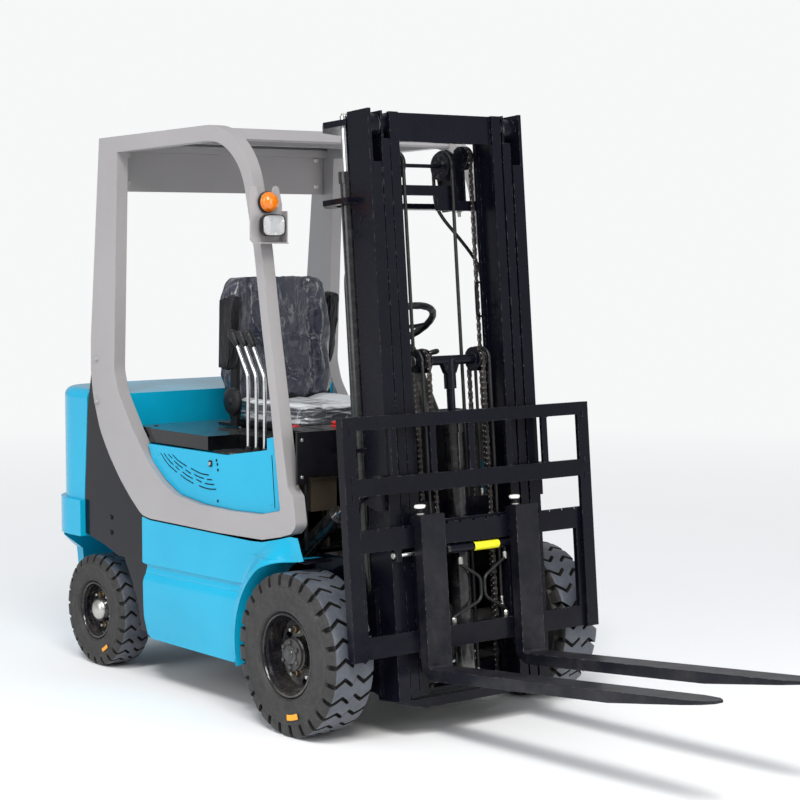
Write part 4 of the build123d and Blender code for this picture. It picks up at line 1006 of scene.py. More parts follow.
for s, nm in ((1, "left"), (-1, "right")):
    yc, yh, yl = s * 0.202, s * 0.112, s * 0.156
    runs = [
        (nm + "_main_chain_front", "chain", PC[0] + 0.038, yc, 0.156, PC[1], "inner_mast",
         "intermediate_mast", "main_chain_front_runs"),
        (nm + "_main_chain_rear", "chain", PC[0] - 0.038, yc, 1.880, PC[1], "outer_mast",
         "intermediate_mast", "main_chain_rear_runs"),
        (nm + "_main_hose_front", "hose", PH[0] + 0.0515, yh, 0.1505, PH[1], "inner_mast",
         "intermediate_mast", "main_hose_front_runs"),
        (nm + "_lift_hose_front", "small", FX + 0.0385, yl, 0.412, SHZ, "lift_carriage",
         "lift_crosshead", "front_lift_hoses"),
        (nm + "_lift_hose_rear", "small", FX - 0.0385, yl, 0.8005, SHZ, "inner_mast",
         "lift_crosshead", "rear_lift_hoses"),
    ]
    for rn, kind, x, y, z0, z1, ba, bb, node in runs:
        b = Build("M")
        if kind == "chain":
            leaf_chain(b, [(x, z0), (x, z1)], y, hgt=0.0062 * 2)
        else:
            rad = 0.0065 if kind == "hose" else 0.006
            nn = 60
            b.tube([(x, y, z0 + (z1 - z0) * k / nn) for k in range(nn + 1)], rad, "hose", 14)
            zf = z0 if z0 > 0.2 else z0 + 0.001
            b.lathe((x, y, zf), (0, 0, 1), [(rad + 0.0003, 0.0), (rad + 0.0012, 0.001), (rad + 0.0012, 0.026),
                                            (rad + 0.0002, 0.028)], 16, "zinc")
        o = b.make(rn + "_run", None)
        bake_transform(o)
        if s > 0:
            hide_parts(node)
    # the hose behind the mast: down from the pulley, out to the rail, into its clamp
    xr = PH[0] - 0.0515
    b = Build("M")
    path = ([(xr, yh, 2.000 - 0.012 * k) for k in range(9)]
            + [(xr, yh + s * w, z) for w, z in ((0.003, 1.875), (0.014, 1.846), (0.045, 1.806),
                                               (0.100, 1.752), (0.155, 1.695), (0.188, 1.652),
                                               (0.202, 1.615), (0.206, 1.575))]
            + [(xr, yh + s * 0.206, 1.53 - 0.0525 * k) for k in range(11)])
    b.tube(spline(path, 3), 0.0065, "hose", 14)
    o = b.make(nm + "_main_hose_rear_run", None)
    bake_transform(o)
    if s > 0:
        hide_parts("main_hose_rear_runs")
    # what turns with the pulleys of the intermediate mast
    b = Build("M")
    leaf_chain(b, arc(PC[0], PC[1], 0.038, 0, 180, 40), yc, hgt=0.0124)
    hose_arc(b, PH[0], PH[1], 0.0515, yh, 0.0065)
    for q in (-1, 1):
        b.lathe((PH[0], yh, PH[1]), (0, q, 0), [(0.0500, 0.0118), (0.0512, 0.0128), (0.0470, 0.0136),
                                               (0.0440, 0.0124), (0.022, 0.0124), (0.020, 0.0150),
                                               (0.0075, 0.0150)], 48, "mast")
        b.lathe((PC[0], yc, PC[1]), (0, q, 0), [(0.0412, 0.0128), (0.0425, 0.0138), (0.0380, 0.0148),
                                               (0.034, 0.0134), (0.020, 0.0134), (0.018, 0.0160),
                                               (0.0135, 0.0160)], 48, "mast")
    b.lathe((PC[0], s * 0.222, PC[1]), (0, s, 0), [(0.015, 0), (0.015, 0.003), (0.012, 0.0045), (0.002, 0.005)],
            24, "bare")
    b.bolt((PH[0], s * 0.138, PH[1]), (0, s, 0), 0.010, 0.007, "zinc", True, True)
    # head of the lift rod on the top tie
    b.bolt((0.120, s * 0.322, 2.166), (0, 0, 1), 0.0125, 0.008, "zinc", True, False)
    # top roller of the rail, seen from inside
    b.lathe((0.231, s * 0.2425, 2.124), (0, -s, 0), [(0.0385, -0.004), (0.0393, 0.0), (0.0375, 0.003), (0.030, 0.0035),
                                                    (0.028, 0.0015), (0.018, 0.0015), (0.016, 0.004),
                                                    (0.004, 0.0045)], 44, "roller")
    b.make(nm + "_top_pulley_wraps", "intermediate_mast", angle=40)
    b = Build("M")
    b.lathe((0.232, s * 0.2865, 2.122), (0, -s, 0), [(0.0405, -0.004), (0.0411, -0.0005), (0.0395, 0.0006), (0.032, 0.0007),
                                                    (0.030, 0.0002), (0.019, 0.0002), (0.017, 0.0008),
                                                    (0.004, 0.0009)], 44, "roller")
    # clamp of the hose on the rail, and the round fitting under it
    b.box((0.058, s * 0.3095, 0.985), (0.083, s * 0.3265, 1.0035), "zinc", 0.002)
    b.lathe((xr, yh + s * 0.206, 0.960), (0, 0, 1), [(0.0072, 0), (0.0095, 0.002), (0.0095, 0.026), (0.0072, 0.029)],
            18, "zinc")
    # chain anchor on the bowed tie: threaded end and nuts
    xa = PC[0] - 0.038
    b.lathe((xa, yc, 1.820), (0, 0, 1), [(0.0055, 0), (0.0062, 0.002), (0.0062, 0.036)], 14, "zinc")
    b.bolt((xa, yc, 1.855), (0, 0, -1), 0.011, 0.009, "zinc", True, False)
    b.bolt((xa, yc, 1.845), (0, 0, -1), 0.011, 0.009, "zinc", False, False)
    # bolts of the outer rail's foot, lug pin keeper and stage ties
    for z in (0.66, 0.72):
        b.bolt((0.149, s * 0.324, z), (-1, 0, 0), 0.009, 0.007, "zinc", True)
    # weld beads along the ties
    for z in (0.64, 0.74):
        b.tube([(0.1495, s * (0.300 + 0.004 * k), z + 0.0008 * (k % 2)) for k in range(11)], 0.0022, "mast", 6)
    b.make(nm + "_outer_mast_details", "outer_mast", angle=40)
    # hose wrap over the crosshead
    b = Build("M")
    hose_arc(b, FX, SHZ, 0.0385, yl, 0.006)
    b.make(nm + "_crosshead_hose_wrap", "lift_crosshead", angle=40)

# ----------------------------------------------------------------------
# carriage, forks and backrest
# ----------------------------------------------------------------------
b = Build("M")
b.lathe((0.306, 0.0, 0.634), (0, 1, 0), [(0.0158, 0.002), (0.01625, 0.003), (0.01625, 0.118), (0.0158, 0.119)],
        36, "yellow")
b.lathe((0.306, -0.1205, 0.634), (0, -1, 0), [(0.0160, -0.010), (0.0163, -0.008), (0.0163, 0.0), (0.0150, 0.0015),
                                             (0.0100, 0.0015)], 32, "cylinder")
for y in (-0.046, 0.166):
    b.lathe((0.291, y, 0.600), (0, 0, 1), [(0.0075, -0.026), (0.0098, -0.024), (0.0098, -0.004), (0.008, 0.0)],
            6, "zinc", smooth=False)
for y in (-0.090, 0.156):
    b.lathe((0.291, y, 0.3670), (0, 0, 1), [(0.0092, 0.0), (0.0098, 0.002), (0.0098, 0.020), (0.0070, 0.023)],
            6, "zinc", smooth=False)
for s in (-1, 1):
    for z in (0.322, 0.352, 0.672, 0.694):
        b.bolt((0.3005, s * 0.196, z), (1, 0, 0), 0.0006, 0.0004, "zinc", False)
    b.lathe((0.2725, s * 0.156, 0.402), (0, 0, 1), [(0.0085, 0), (0.0098, 0.001), (0.0098, 0.010), (0.0068, 0.013)],
            6, "zinc", smooth=False)
b.make("carriage_fittings", "lift_carriage", angle=40)

for s, body in ((1, "left_fork"), (-1, "right_fork")):
    b = Build("M")
    yy = s * 0.220 - 0.036
    b.lathe((0.338, yy, 0.768), (0, 0, 1), [(0.013, 0.0), (0.0150, 0.001), (0.0150, 0.005), (0.0095, 0.006)], 26, "zinc")
    b.lathe((0.338, yy, 0.790), (0, 0, 1), [(0.0160, 0.0), (0.0178, 0.002), (0.0180, 0.009), (0.0168, 0.0125),
                                           (0.0120, 0.0135), (0.002, 0.0138)], 30, "white")
    b.tube([(0.338, yy - 0.022, 0.797), (0.338, yy + 0.022, 0.797)], 0.0048, "white", 14)
    # forged heel: a soft weld line where each hook meets the shank
    for z in (0.737, 0.291):
        b.tube([(0.3215, s * 0.220 - 0.045 + 0.006 * k, z + 0.0007 * (k % 2)) for k in range(16)], 0.0026, "fork", 6)
    b.make(body + "_pin", body, angle=40)

b = Build("M")
rng = random.Random(5)
for s in (-1, 1):
    for zc in (0.848, 0.908, 1.073):
        y0 = s * 0.541
        b.tube([(0.3365, y0 + s * 0.001, zc - 0.002 + 0.004 * k) for k in range(-3, 4)], 0.0028, "mast", 6)
for y in (-0.352, -0.176, 0.0, 0.176, 0.352):
    for zc in (0.9085, 1.0725):
        b.tube([(0.3345, y - 0.015 + 0.005 * k, zc + 0.0008 * (k % 2)) for k in range(7)], 0.0026, "mast", 6)
for k in range(40):
    y = rng.choice((-0.545, 0.545)) + rng.uniform(-0.02, 0.02)
    z = rng.choice((0.85, 0.9, 1.08, 0.72, 0.66)) + rng.uniform(-0.03, 0.03)
    b.lathe((0.3362, max(-0.57, min(0.57, y)), z), (1, 0, 0), [(0.0012, -0.0006), (0.0009, 0.0006), (0.0002, 0.0009)], 6, "mast")
# bright rod of the side shifter and its end nut
b.lathe((0.306, -0.3545, 0.634), (0, -1, 0), [(0.0105, -0.002), (0.0115, 0.0), (0.0115, 0.006), (0.0095, 0.008)], 6,
        "zinc", smooth=False)
b.lathe((0.306, -0.331, 0.634), (0, 1, 0), [(0.0092, 0.0), (0.0094, 0.001), (0.0094, 0.190), (0.0092, 0.191)], 28, "chrome")
b.make("backrest_welds", "side_shift_frame", angle=40)

# ----------------------------------------------------------------------
# lower side panels: creased skin that swells into the fender
# ----------------------------------------------------------------------
RA = 0.336


def ra(a):
    """Radius of the arch edge: it closes in on the tyre toward the front."""
    return RA - 0.018 * smooth01((128 - a) / 32)


ARCH = [(0.288 + ra(a) * math.sin(math.radians(a)), ra(a) * math.cos(math.radians(a)))
        for a in [190 - 0.5 * k for k in range(191)]]


def flare_at(a):
    return 0.08 + 0.92 * smooth01((a - 94) / 34)


def skin_y(x, z):
    r = math.hypot(x, z - 0.288)
    y = 0.5500
    a = math.degrees(math.atan2(z - 0.288, x))
    a = a + 360 if a < 0 else a
    y += 0.0500 * smooth01((0.425 - r) / (0.425 - 0.338)) ** 1.35 * flare_at(a)
    f = smooth01((r - 0.372) / 0.06)
    top = 0.486 + (x + 0.37) * 0.0182
    bot = top - 0.035
    if z < top:
        t = (top - z) / 0.035
        y -= 0.0085 * smooth01(t * 7.0) * f * (1 - 0.30 * smooth01((t - 0.4) / 0.6))
    if z < bot:
        q = (bot - z)
        y += 0.0075 * smooth01(q / 0.03) * (1 - smooth01((q - 0.05) / 0.22)) * f
        y -= 0.0016 * (1 - smooth01(q / 0.004)) * f
    return y


def lower_skin(s, nm):
    zs = [0.184, 0.190, 0.200, 0.212]
    zs += [0.288 + ra(a) * math.sin(math.radians(a)) for a in range(190, 98, -3)]
    zs = [z for z in zs if z < 0.5985]
    k = 0.432
    while k < 0.492:
        zs.append(k)
        k += 0.0025
    zs = sorted(set(round(z, 5) for z in zs))
    top_line = [(-1.035, 0.654), (-0.977, 0.647), (-0.506, 0.647), (-0.310, 0.647), (-0.236, 0.651),
                (-0.128, 0.674), (-0.066, 0.690), (0.03, 0.690)]

    def lerp_line(line, x):
        for (x0, z0), (x1, z1) in zip(line, line[1:]):
            if x <= x1:
                return z0 + (z1 - z0) * (x - x0) / (x1 - x0)
        return line[-1][1]
    rear = [(0.184, -0.985), (0.200, -1.010), (0.260, -1.032), (0.400, -1.030), (0.466, -1.012),
            (0.478, -1.035), (0.660, -1.035)]

    def x_left(z):
        return lerp_line(rear, z)

    def x_right(z):
        if z < 0.2297:
            return -0.356 + 0.025 * (z - 0.184) / 0.0457
        if z <= ARCH[-1][0]:
            return lerp_line(ARCH, z)
        if z < 0.6120:
            return ARCH[-1][1] + (0.020 - ARCH[-1][1]) * (z - ARCH[-1][0]) / (0.6120 - ARCH[-1][0])
        return 0.020 - 0.042 * min(1.0, (z - 0.612) / 0.078)
    NC = 84
    rows = []
    for z in zs:
        xl, xr = x_left(z), x_right(z)
        rows.append([(xl + (xr - xl) * (1 - (1 - c / NC) ** 1.5), z) for c in range(NC + 1)])
    for f in (0.0, 0.08, 0.16, 0.21, 0.25, 0.262, 0.30, 0.45, 0.62, 0.80, 0.93, 1.0):
        row = []
        zr = 0.600 + 0.090 * f
        xl, xr = x_left(0.600 + 0.05 * f), x_right(zr)
        for c in range(NC + 1):
            x = xl + (xr - xl) * (1 - (1 - c / NC) ** 1.5)
            row.append((x, 0.600 + (lerp_line(top_line, x) - 0.600) * f))
        rows.append(row)
    b = Build("V")
    n = NC + 1
    verts, faces = [], []
    for row in rows:
        for x, z in row:
            verts.append((x, s * skin_y(x, z), z))
    m = len(rows)
    back = len(verts)
    for row in rows:
        for x, z in row:
            verts.append((x, s * (skin_y(x, z) - 0.0035), z))
    for i in range(m - 1):
        for c in range(NC):
            q = (i * n + c, i * n + c + 1, (i + 1) * n + c + 1, (i + 1) * n + c)
            faces.append(q)
            faces.append(tuple(back + k for k in q)[::-1])
    edge = ([i * n for i in range(m)] + [(m - 1) * n + c for c in range(1, n)]
            + [i * n + NC for i in range(m - 2, -1, -1)] + [c for c in range(NC - 1, 0, -1)])
    for a, c in zip(edge, edge[1:] + edge[:1]):
        faces.append((a, c, back + c, back + a))
    b.add(verts, faces, "cyan", True)
    # rolled lip, and the liner under it; the liner's 84 to 94 degree stretch is black, painted shade under the fender,
    # the rest cyan
    for t0, t1, m in ((94.0, 196.0, "cyan"), (84.0, 94.0, "black")):
      rr = []
      for k in range(64):
        t = t0 + (t1 - t0) * k / 63
        a = math.radians(t)
        yl = 0.5500 + 0.0500 * flare_at(t) - 0.0010
        rr.append([((r - RA + ra(t)) * math.cos(a), s * y, 0.288 + (r - RA + ra(t)) * math.sin(a))
                   for r, y in ((0.3362, 0.441), (0.3362, yl), (0.3368, yl + 0.0016), (0.3378, yl + 0.0020),
                                (0.3392, yl + 0.0008), (0.3400, yl - 0.009), (0.3440, 0.548), (0.3440, 0.441))])
      b.rings(rr, m, smooth=False)
    o = b.make(nm + "_lower_skin", "chassis", angle=50)
    return o


sk = [lower_skin(1, "left"), lower_skin(-1, "right")]
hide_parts("lower_side_panels")

# ----------------------------------------------------------------------
# lamps on the front pillars
# ----------------------------------------------------------------------
for s, nm in ((-1, "right"), (1, "left")):
    b = Build("V")
    x0 = -0.200
    # bracket: back plate with two rounded prongs
    out = [(0.486, 1.714), (0.610, 1.714), (0.622, 1.726), (0.622, 1.895), (0.617, 1.907), (0.606, 1.914),
           (0.596, 1.910), (0.590, 1.899), (0.588, 1.880), (0.530, 1.880), (0.527, 1.899), (0.521, 1.910), (0.512, 1.914),
           (0.502, 1.909), (0.497, 1.898), (0.486, 1.850)]
    b.rings([[(x0, s * y, z) for y, z in out], [(x0 + 0.004, s * y, z) for y, z in out]], "guard", smooth=False)
    b.box((x0, s * 0.487, 1.712), (x0 + 0.046, s * 0.607, 1.7165), "guard", 0.001)
    b.box((x0, s * 0.4865, 1.712), (x0 + 0.040, s * 0.4905, 1.826), "guard", 0.001)
    b.box((-0.284, s * 0.5515, 1.742), (x0 + 0.002, s * 0.5565, 1.858), "guard", 0.001)
    for z in (1.765, 1.835):
        b.bolt((-0.255, s * 0.5565, z), (0, s, 0), 0.0075, 0.006, "zinc", True)
    # work lamp: housing, bright bowl, clear lens with ribs
    cy, cz = s * 0.552, 1.776
    hy, hz = 0.049, 0.038

    def sup(k, n, ay, az, p=4.0):
        t = 2 * math.pi * k / n
        c, q = math.cos(t), math.sin(t)
        return (cy + ay * math.copysign(abs(c) ** (2 / p), c), cz + az * math.copysign(abs(q) ** (2 / p), q))
    N = 56

    def ringx(x, ay, az):
        return [(x, *sup(k, N, ay, az)) for k in range(N)]
    b.rings([ringx(x0 + 0.004, hy * 0.55, hz * 0.55), ringx(x0 + 0.018, hy * 0.86, hz * 0.86),
             ringx(x0 + 0.034, hy, hz), ringx(x0 + 0.0495, hy, hz), ringx(x0 + 0.0505, hy * 0.96, hz * 0.95),
             ringx(x0 + 0.0440, hy * 0.93, hz * 0.92)], "plastic", smooth=True)
    b.rings([ringx(x0 + 0.0470, hy * 0.925, hz * 0.915), ringx(x0 + 0.036, hy * 0.78, hz * 0.76),
             ringx(x0 + 0.028, hy * 0.48, hz * 0.46), ringx(x0 + 0.026, hy * 0.16, hz * 0.16)], "reflector", smooth=True)
    for iy in range(5):
        for iz in range(4):
            if (iy + iz) % 2 == 0 or iz < 3:
                b.lathe((x0 + 0.0425, cy + (iy - 2) * 0.0158, cz + (iz - 1.5) * 0.0158), (1, 0, 0),
                        [(0.0074, -0.006), (0.0072, -0.001), (0.0050, 0.0018), (0.0012, 0.0028)], 14, "reflector")
    b.lathe((x0 + 0.026, cy, cz), (1, 0, 0), [(0.009, 0), (0.009, 0.010), (0.007, 0.013), (0.001, 0.014)], 24, "lens")
    b.rings([ringx(x0 + 0.0465, hy * 0.93, hz * 0.92), ringx(x0 + 0.0505, hy * 0.92, hz * 0.91),
             ringx(x0 + 0.0525, hy * 0.6, hz * 0.6), ringx(x0 + 0.0530, hy * 0.1, hz * 0.1)], "lens", smooth=True)
    # turn signal: faceted amber lens on a black base
    ca = (x0 + 0.004, s * 0.555, 1.857)
    b.lathe(ca, (1, 0, 0), [(0.036, 0.0), (0.0375, 0.003), (0.0375, 0.014), (0.0355, 0.016)], 40, "plastic")
    b.lathe(ca, (1, 0, 0), [(0.0350, 0.015), (0.0345, 0.026), (0.0300, 0.037), (0.0200, 0.0440), (0.0100, 0.0450),
                            (0.001, 0.0452)], 8, "amber", smooth=False)
    b.lathe(ca, (1, 0, 0), [(0.0352, 0.0155), (0.0352, 0.020), (0.0346, 0.0215)], 48, "amber")
    b.tube([(x0 + 0.001, s * 0.560, 1.84), (x0 - 0.012, s * 0.556, 1.82), (x0 - 0.030, s * 0.548, 1.790),
            (x0 - 0.044, s * 0.530, 1.755)], 0.0042, "hose", 10)
    o = b.make(nm + "_lamp_unit", "chassis", angle=34)
    if s > 0:
        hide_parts("front_lamps")

# ----------------------------------------------------------------------
# hydraulic levers and their console
# ----------------------------------------------------------------------
b = Build("V")
b.box((-0.626, -0.497, 0.906), (-0.332, -0.374, 0.9445), "hood", 0.006)
b.box((-0.345, -0.4965, 0.632), (-0.2405, -0.3745, 0.9455), "hood", 0.006)
for k, x in enumerate((-0.466, -0.414, -0.362)):
    y = -0.445
    pts = [(x, y, 0.930), (x, y, 1.05), (x, y, 1.205), (x - 0.006, y, 1.236), (x - 0.022, y, 1.262),
           (x - 0.060, y, 1.322), (x - 0.074, y, 1.345)]
    b.tube(spline(pts, 5), 0.0070, "chrome", 14)
    # gaiter at the foot
    prof = []
    for q in range(13):
        prof.append((0.0125 - 0.0003 * q + (0.002 if q % 2 else 0.0), 0.0018 * q))
    b.lathe((x, y, 0.944), (0, 0, 1), [(0.0150, -0.002)] + prof + [(0.0075, 0.026)], 28, "plastic")
    d = (Vector((-0.62, 0, 0.785))).normalized()
    b.lathe((x - 0.066, y, 1.334), d, [(0.0085, 0.0), (0.0120, 0.004), (0.0135, 0.018), (0.0165, 0.040), (0.0178, 0.052),
                                       (0.0165, 0.062), (0.0110, 0.0685), (0.002, 0.0705)], 30, "plastic")
o = b.make("lever_set", "chassis", angle=40)
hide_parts("hydraulic_levers")

# ----------------------------------------------------------------------
# seat: padded cushion, back and hip pads under crinkled clear film
# ----------------------------------------------------------------------
def seat_cloth(name, col, col2, film, film_reflection_col=(0.75, 0.78, 0.80)):
    """Vinyl seen through clear packing film: pale streaks where the film
    stands off the cover and a pale veil stronger on upward faces, both painted
    reflections of the clear film, and a sharp crinkled gloss."""
    k = Mat(name)
    base = k.mix(k.ramp(k.noise(24.0, 5.0, 0.6), [(0.3, 0.0), (0.7, 1.0)]), col, col2)
    w1 = k.noise(3.2, 5.0, 0.6, stretch=(1.0, 1.6, 0.7), dist=1.2)
    ridge = k.math("ABSOLUTE", k.math("SUBTRACT", w1, 0.5))
    # pale streaks along the film's crinkles: painted highlights of the clear film
    streak = k.ramp(ridge, [(0.0, 0.75), (0.012, 0.18), (0.05, 0.0)])
    w2 = k.noise(8.5, 4.0, 0.6, stretch=(1.0, 2.2, 0.8), dist=0.9)
    ridge2 = k.math("ABSOLUTE", k.math("SUBTRACT", w2, 0.5))
    streak2 = k.ramp(ridge2, [(0.0, 0.45), (0.010, 0.08), (0.03, 0.0)])
    cloud = k.ramp(k.noise(4.5, 6.0, 0.62, dist=0.6), [(0.50 - 0.22 * film, 0.0), (0.62 - 0.16 * film, 1.0)])
    up = k.math("MAXIMUM", k.math("MULTIPLY", k.facing_up(), 1.0), 0.0)
    # pale veil, strongest on upward faces: painted reflection of the light above
    film_sheen_on_upward_faces = k.math("MULTIPLY", cloud, k.math("ADD", k.math("MULTIPLY", up, film), 0.10 * film), clamp=True)
    s = k.math("MAXIMUM", k.math("MULTIPLY", k.math("MAXIMUM", streak, streak2), 0.14 + 0.61 * film), film_sheen_on_upward_faces, clamp=True)
    c = k.mix(s, base, film_reflection_col)
    r = k.math("ADD", k.math("MULTIPLY", k.noise(40.0, 4.0), 0.14), 0.18)
    k.set(Base_Color=c, Roughness=r, Coat_Weight=0.55, Coat_Roughness=0.08)
    k.bump([(ridge, 0.9, 0.010), (ridge2, 0.5, 0.004), (k.voronoi(600.0), 0.12, 0.0003)], 0.0)
    return k.m


M["seat_hip"] = plastic("hip_pad_vinyl", (0.004, 0.004, 0.006), 0.34, grain=900.0, bump=0.2, coat=0.15, dust=0.1)
M["seat_back"] = seat_cloth("seat_back_vinyl", (0.012, 0.014, 0.030), (0.022, 0.026, 0.050), 0.12)
# film sets how much painted film reflection each pad gets
M["seat_pad"] = seat_cloth("seat_pad_vinyl", (0.010, 0.012, 0.024), (0.030, 0.034, 0.050), 1.0, (0.82, 0.84, 0.86))


def pillow(name, lo, hi, mat, crown, shape, body="hood", turn=None, about=None, replaced=None,
           edge=5.0, seed=1, fold=1.0):
    """Crowned closed pad. shape(u, v) gives the half-thickness factor."""
    lo, hi = Vector(lo), Vector(hi)
    c, h = (lo + hi) / 2, (hi - lo) / 2
    bm = bmesh.new()
    bmesh.ops.create_cube(bm, size=2.0)
    bmesh.ops.subdivide_edges(bm, edges=bm.edges[:], cuts=40, use_grid_fill=True)
    for q in bm.verts:
        p = q.co.copy()
        # rounded box
        e = edge
        nrm = (abs(p.x) ** e + abs(p.y) ** e + abs(p.z) ** e) ** (1 / e)
        d = p / nrm
        p = d
        q.co = shape(p)
        # creases of the film and of the cover
        w = noise.noise(Vector((p.x * 2.3, p.y * 2.3, p.z * 2.3 + seed)))
        w2 = noise.noise(Vector((p.x * 7.0 + 3, p.y * 7.0, p.z * 7.0 + seed)))
        q.co = Vector((c[k] + h[k] * q.co[k] * (1 + crown * 0.0) for k in range(3)))
        w3 = abs(noise.noise(Vector((p.x * 1.1 + seed, p.y * 2.6 + p.z * 0.9, p.z * 1.5))))
        w4 = abs(noise.noise(Vector((p.x * 2.0 + 5, p.y * 5.4 - p.z * 2.0, p.z * 3.2 + seed))))
        q.co += (p * (0.0026 * w + 0.0014 * w2 + fold * (0.010 * (0.25 - w3) + 0.005 * (0.2 - w4))))
    me = bpy.data.meshes.new(name)
    if turn is not None:
        pv = Vector(about)
        for q in bm.verts:
            q.co = turn @ (q.co - pv) + pv
    for q in bm.verts:
        q.co = from_v(q.co)
    bmesh.ops.recalc_face_normals(bm, faces=bm.faces)
    bm.to_mesh(me)
    bm.free()
    me.materials.append(M[mat])
    for f in me.polygons:
        f.use_smooth = True
    ob = bpy.data.objects.new(name, me)
    bpy.context.scene.collection.objects.link(ob)
    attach(ob, body)
    if replaced:
        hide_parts(replaced)
    return ob


def groove(v, at, width, depth):
    return depth * math.exp(-((v - at) / width) ** 2)


def cushion_shape(p):
    x, y, z = p
    # higher sides and nose, dished middle, sewn channels across
    if z > 0:
        side = smooth01((abs(y) - 0.50) / 0.35) * 0.42
        nose = smooth01((x - 0.45) / 0.45) * 0.30
        rear = smooth01((-0.55 - x) / 0.35) * 0.16
        k = 0.40 + max(side, nose, rear) - 0.05 * (1 - abs(y))
        for q in (-0.55, -0.2, 0.15, 0.5):
            k -= groove(x, q, 0.030, 0.10) * (1 - smooth01((abs(y) - 0.50) / 0.1))
        k -= groove(abs(y), 0.55, 0.035, 0.12)
        z = z * max(0.2, k + 0.12)
    y *= 1 - 0.05 * (1 - abs(z)) - 0.03 * x * x
    return Vector((x, y, z))


pillow("seat_cushion_pad", (-0.898, -0.226, 1.018), (-0.443, 0.226, 1.118), "seat_pad", 0.1, cushion_shape,
       replaced="seat_cushion", seed=3, edge=7.0, fold=0.6)


def back_shape(p):
    x, y, z = p
    taper = 1 - 0.07 * smooth01((z - 0.2) / 0.8) - 0.02 * smooth01((-z - 0.6) / 0.4)
    y2 = y * taper
    front = x
    if x > 0:
        side = smooth01((abs(y) - 0.55) / 0.3)
        k = 0.62 + 0.34 * side - 0.10 * smooth01((z - 0.55) / 0.4)
        for q in (-0.62, -0.30, 0.02, 0.34):
            k -= groove(z, q, 0.022, 0.14) * (1 - side)
        k -= groove(abs(y), 0.62, 0.03, 0.16)
        front = x * k
    else:
        front = x * (0.9 - 0.25 * abs(y) ** 3)
    return Vector((front, y2, z))


lean_r = Matrix.Rotation(math.radians(-4.0), 3, "Y")
pillow("seat_back_pad", (-0.992, -0.224, 1.092), (-0.868, 0.258, 1.574), "seat_back", 0.1, back_shape,
       turn=lean_r, about=(-0.920, 0, 1.126), replaced="seat_backrest", seed=7, edge=9.0, fold=1.3)
ARMS = ((-1, 0.084, 0.253, 0.309, 0.252), (1, -0.066, 0.273, 0.325, 0.278))


def hip(p):
    x, y, z = p
    return Vector((x * (0.92 + 0.1 * z), y * 0.95, z))


for s, o, y0, y1, yc in ARMS:
    pillow("%s_hip_pad" % ("left" if s > 0 else "right"), (-0.952 + o, min(s * y0, s * y1), 1.226),
           (-0.884 + o, max(s * y0, s * y1), 1.512), "seat_hip", 0.1, hip,
           turn=Matrix.Rotation(math.radians(9.0), 3, "Y"), about=(-0.925 + o, 0, 1.26), seed=11 + s,
           edge=6.0, fold=0.1)

b = Build("V")
for s, o, y0, y1, yc in ARMS:
    b.lathe((-0.925 + o, s * (yc + 0.0005), 1.100), (0, s, 0), [(0.052, -0.004), (0.055, 0.000), (0.054, 0.010), (0.046, 0.016),
                                                               (0.012, 0.0175), (0.002, 0.0175)], 40, "plastic")
    b.lathe((-0.925 + o, s * (yc + 0.017), 1.100), (0, s, 0), [(0.014, 0), (0.014, 0.002), (0.011, 0.004), (0.001, 0.004)],
            20, "plastic")
# black pan under the cushion
b.box((-0.890, -0.214, 0.998), (-0.462, 0.214, 1.040), "plastic", 0.012)
# frame bar between cushion and back, red buckle, slide lever
b.box((-0.972, -0.188, 1.018), (-0.900, 0.222, 1.122), "plastic", 0.008)
b.box((-0.600, 0.232, 0.998), (-0.560, 0.262, 1.030), "red", 0.006)
b.box((-0.490, -0.238, 1.014), (-0.464, -0.210, 1.034), "red", 0.005)
b.tube(spline([(-0.476, -0.12, 1.010), (-0.440, -0.12, 1.006), (-0.424, -0.10, 1.006), (-0.424, 0.10, 1.006),
               (-0.440, 0.12, 1.006), (-0.476, 0.12, 1.010)], 5), 0.0052, "plastic", 12)
for x in (-0.86, -0.52):
    for y in (-0.205, 0.205):
        b.bolt((x, y, 0.9965), (0, 0, 1), 0.008, 0.005, "zinc", True)
b.make("seat_trim", "hood", angle=40)

# ----------------------------------------------------------------------
# hood, cowl, column and wheel
# ----------------------------------------------------------------------
b = Build("V")
# rubber seal round the hood and two latches at its front
b.tube([(-0.345, -0.372, 0.9965), (-0.345, 0.506, 0.9965)], 0.0012, "hose", 8)
b.box((-0.3405, 0.36, 0.80), (-0.3365, 0.42, 0.86), "plastic", 0.002)
for x, y in ((-1.10, -0.44), (-1.10, 0.44), (-0.40, 0.46)):
    b.lathe((x, y, 0.996), (0, 0, 1), [(0.010, -0.001), (0.010, 0.001), (0.0075, 0.003), (0.001, 0.0035)], 20, "plastic")
b.make("hood_trim", "hood", angle=40)

b = Build("V")
sw = Vector((-0.170, 0.0, 1.408))
ax = Vector((-0.53, 0.0, 0.848)).normalized()
u = Vector((0.848, 0, 0.53)).normalized()
w = ax.cross(u)


def wp(r, a, h):
    return sw + u * (r * math.cos(a)) + w * (r * math.sin(a)) + ax * h


N = 96
rr = []
for k in range(N):
    a = 2 * math.pi * k / N
    sec = []
    for q in range(14):
        t = 2 * math.pi * q / 14
        grip = 0.0128 + 0.0006 * math.cos(12 * t) * 0 + (0.0008 if (k % 4) < 2 and math.sin(t) < 0.2 else 0.0)
        sec.append(wp(0.152 + grip * math.cos(t), a, grip * math.sin(t)))
    rr.append(sec)
b.rings(rr, "plastic", smooth=True, closed=True)
for deg in (90, 210, 330):
    a = math.radians(deg)
    rr = []
    for k in range(13):
        t = k / 12
        r = 0.022 + 0.124 * t
        wd = 0.020 - 0.008 * math.sin(math.pi * min(1, t * 1.1)) + 0.006 * t ** 4
        th = 0.0055
        hh = -0.006 + 0.006 * t
        c0 = wp(r, a, hh)
        tn = (u * -math.sin(a) + w * math.cos(a))
        rr.append([c0 + tn * (wd * math.cos(2 * math.pi * q / 12)) + ax * (th * math.sin(2 * math.pi * q / 12))
                   for q in range(12)])
    b.rings(rr, "plastic", smooth=True)
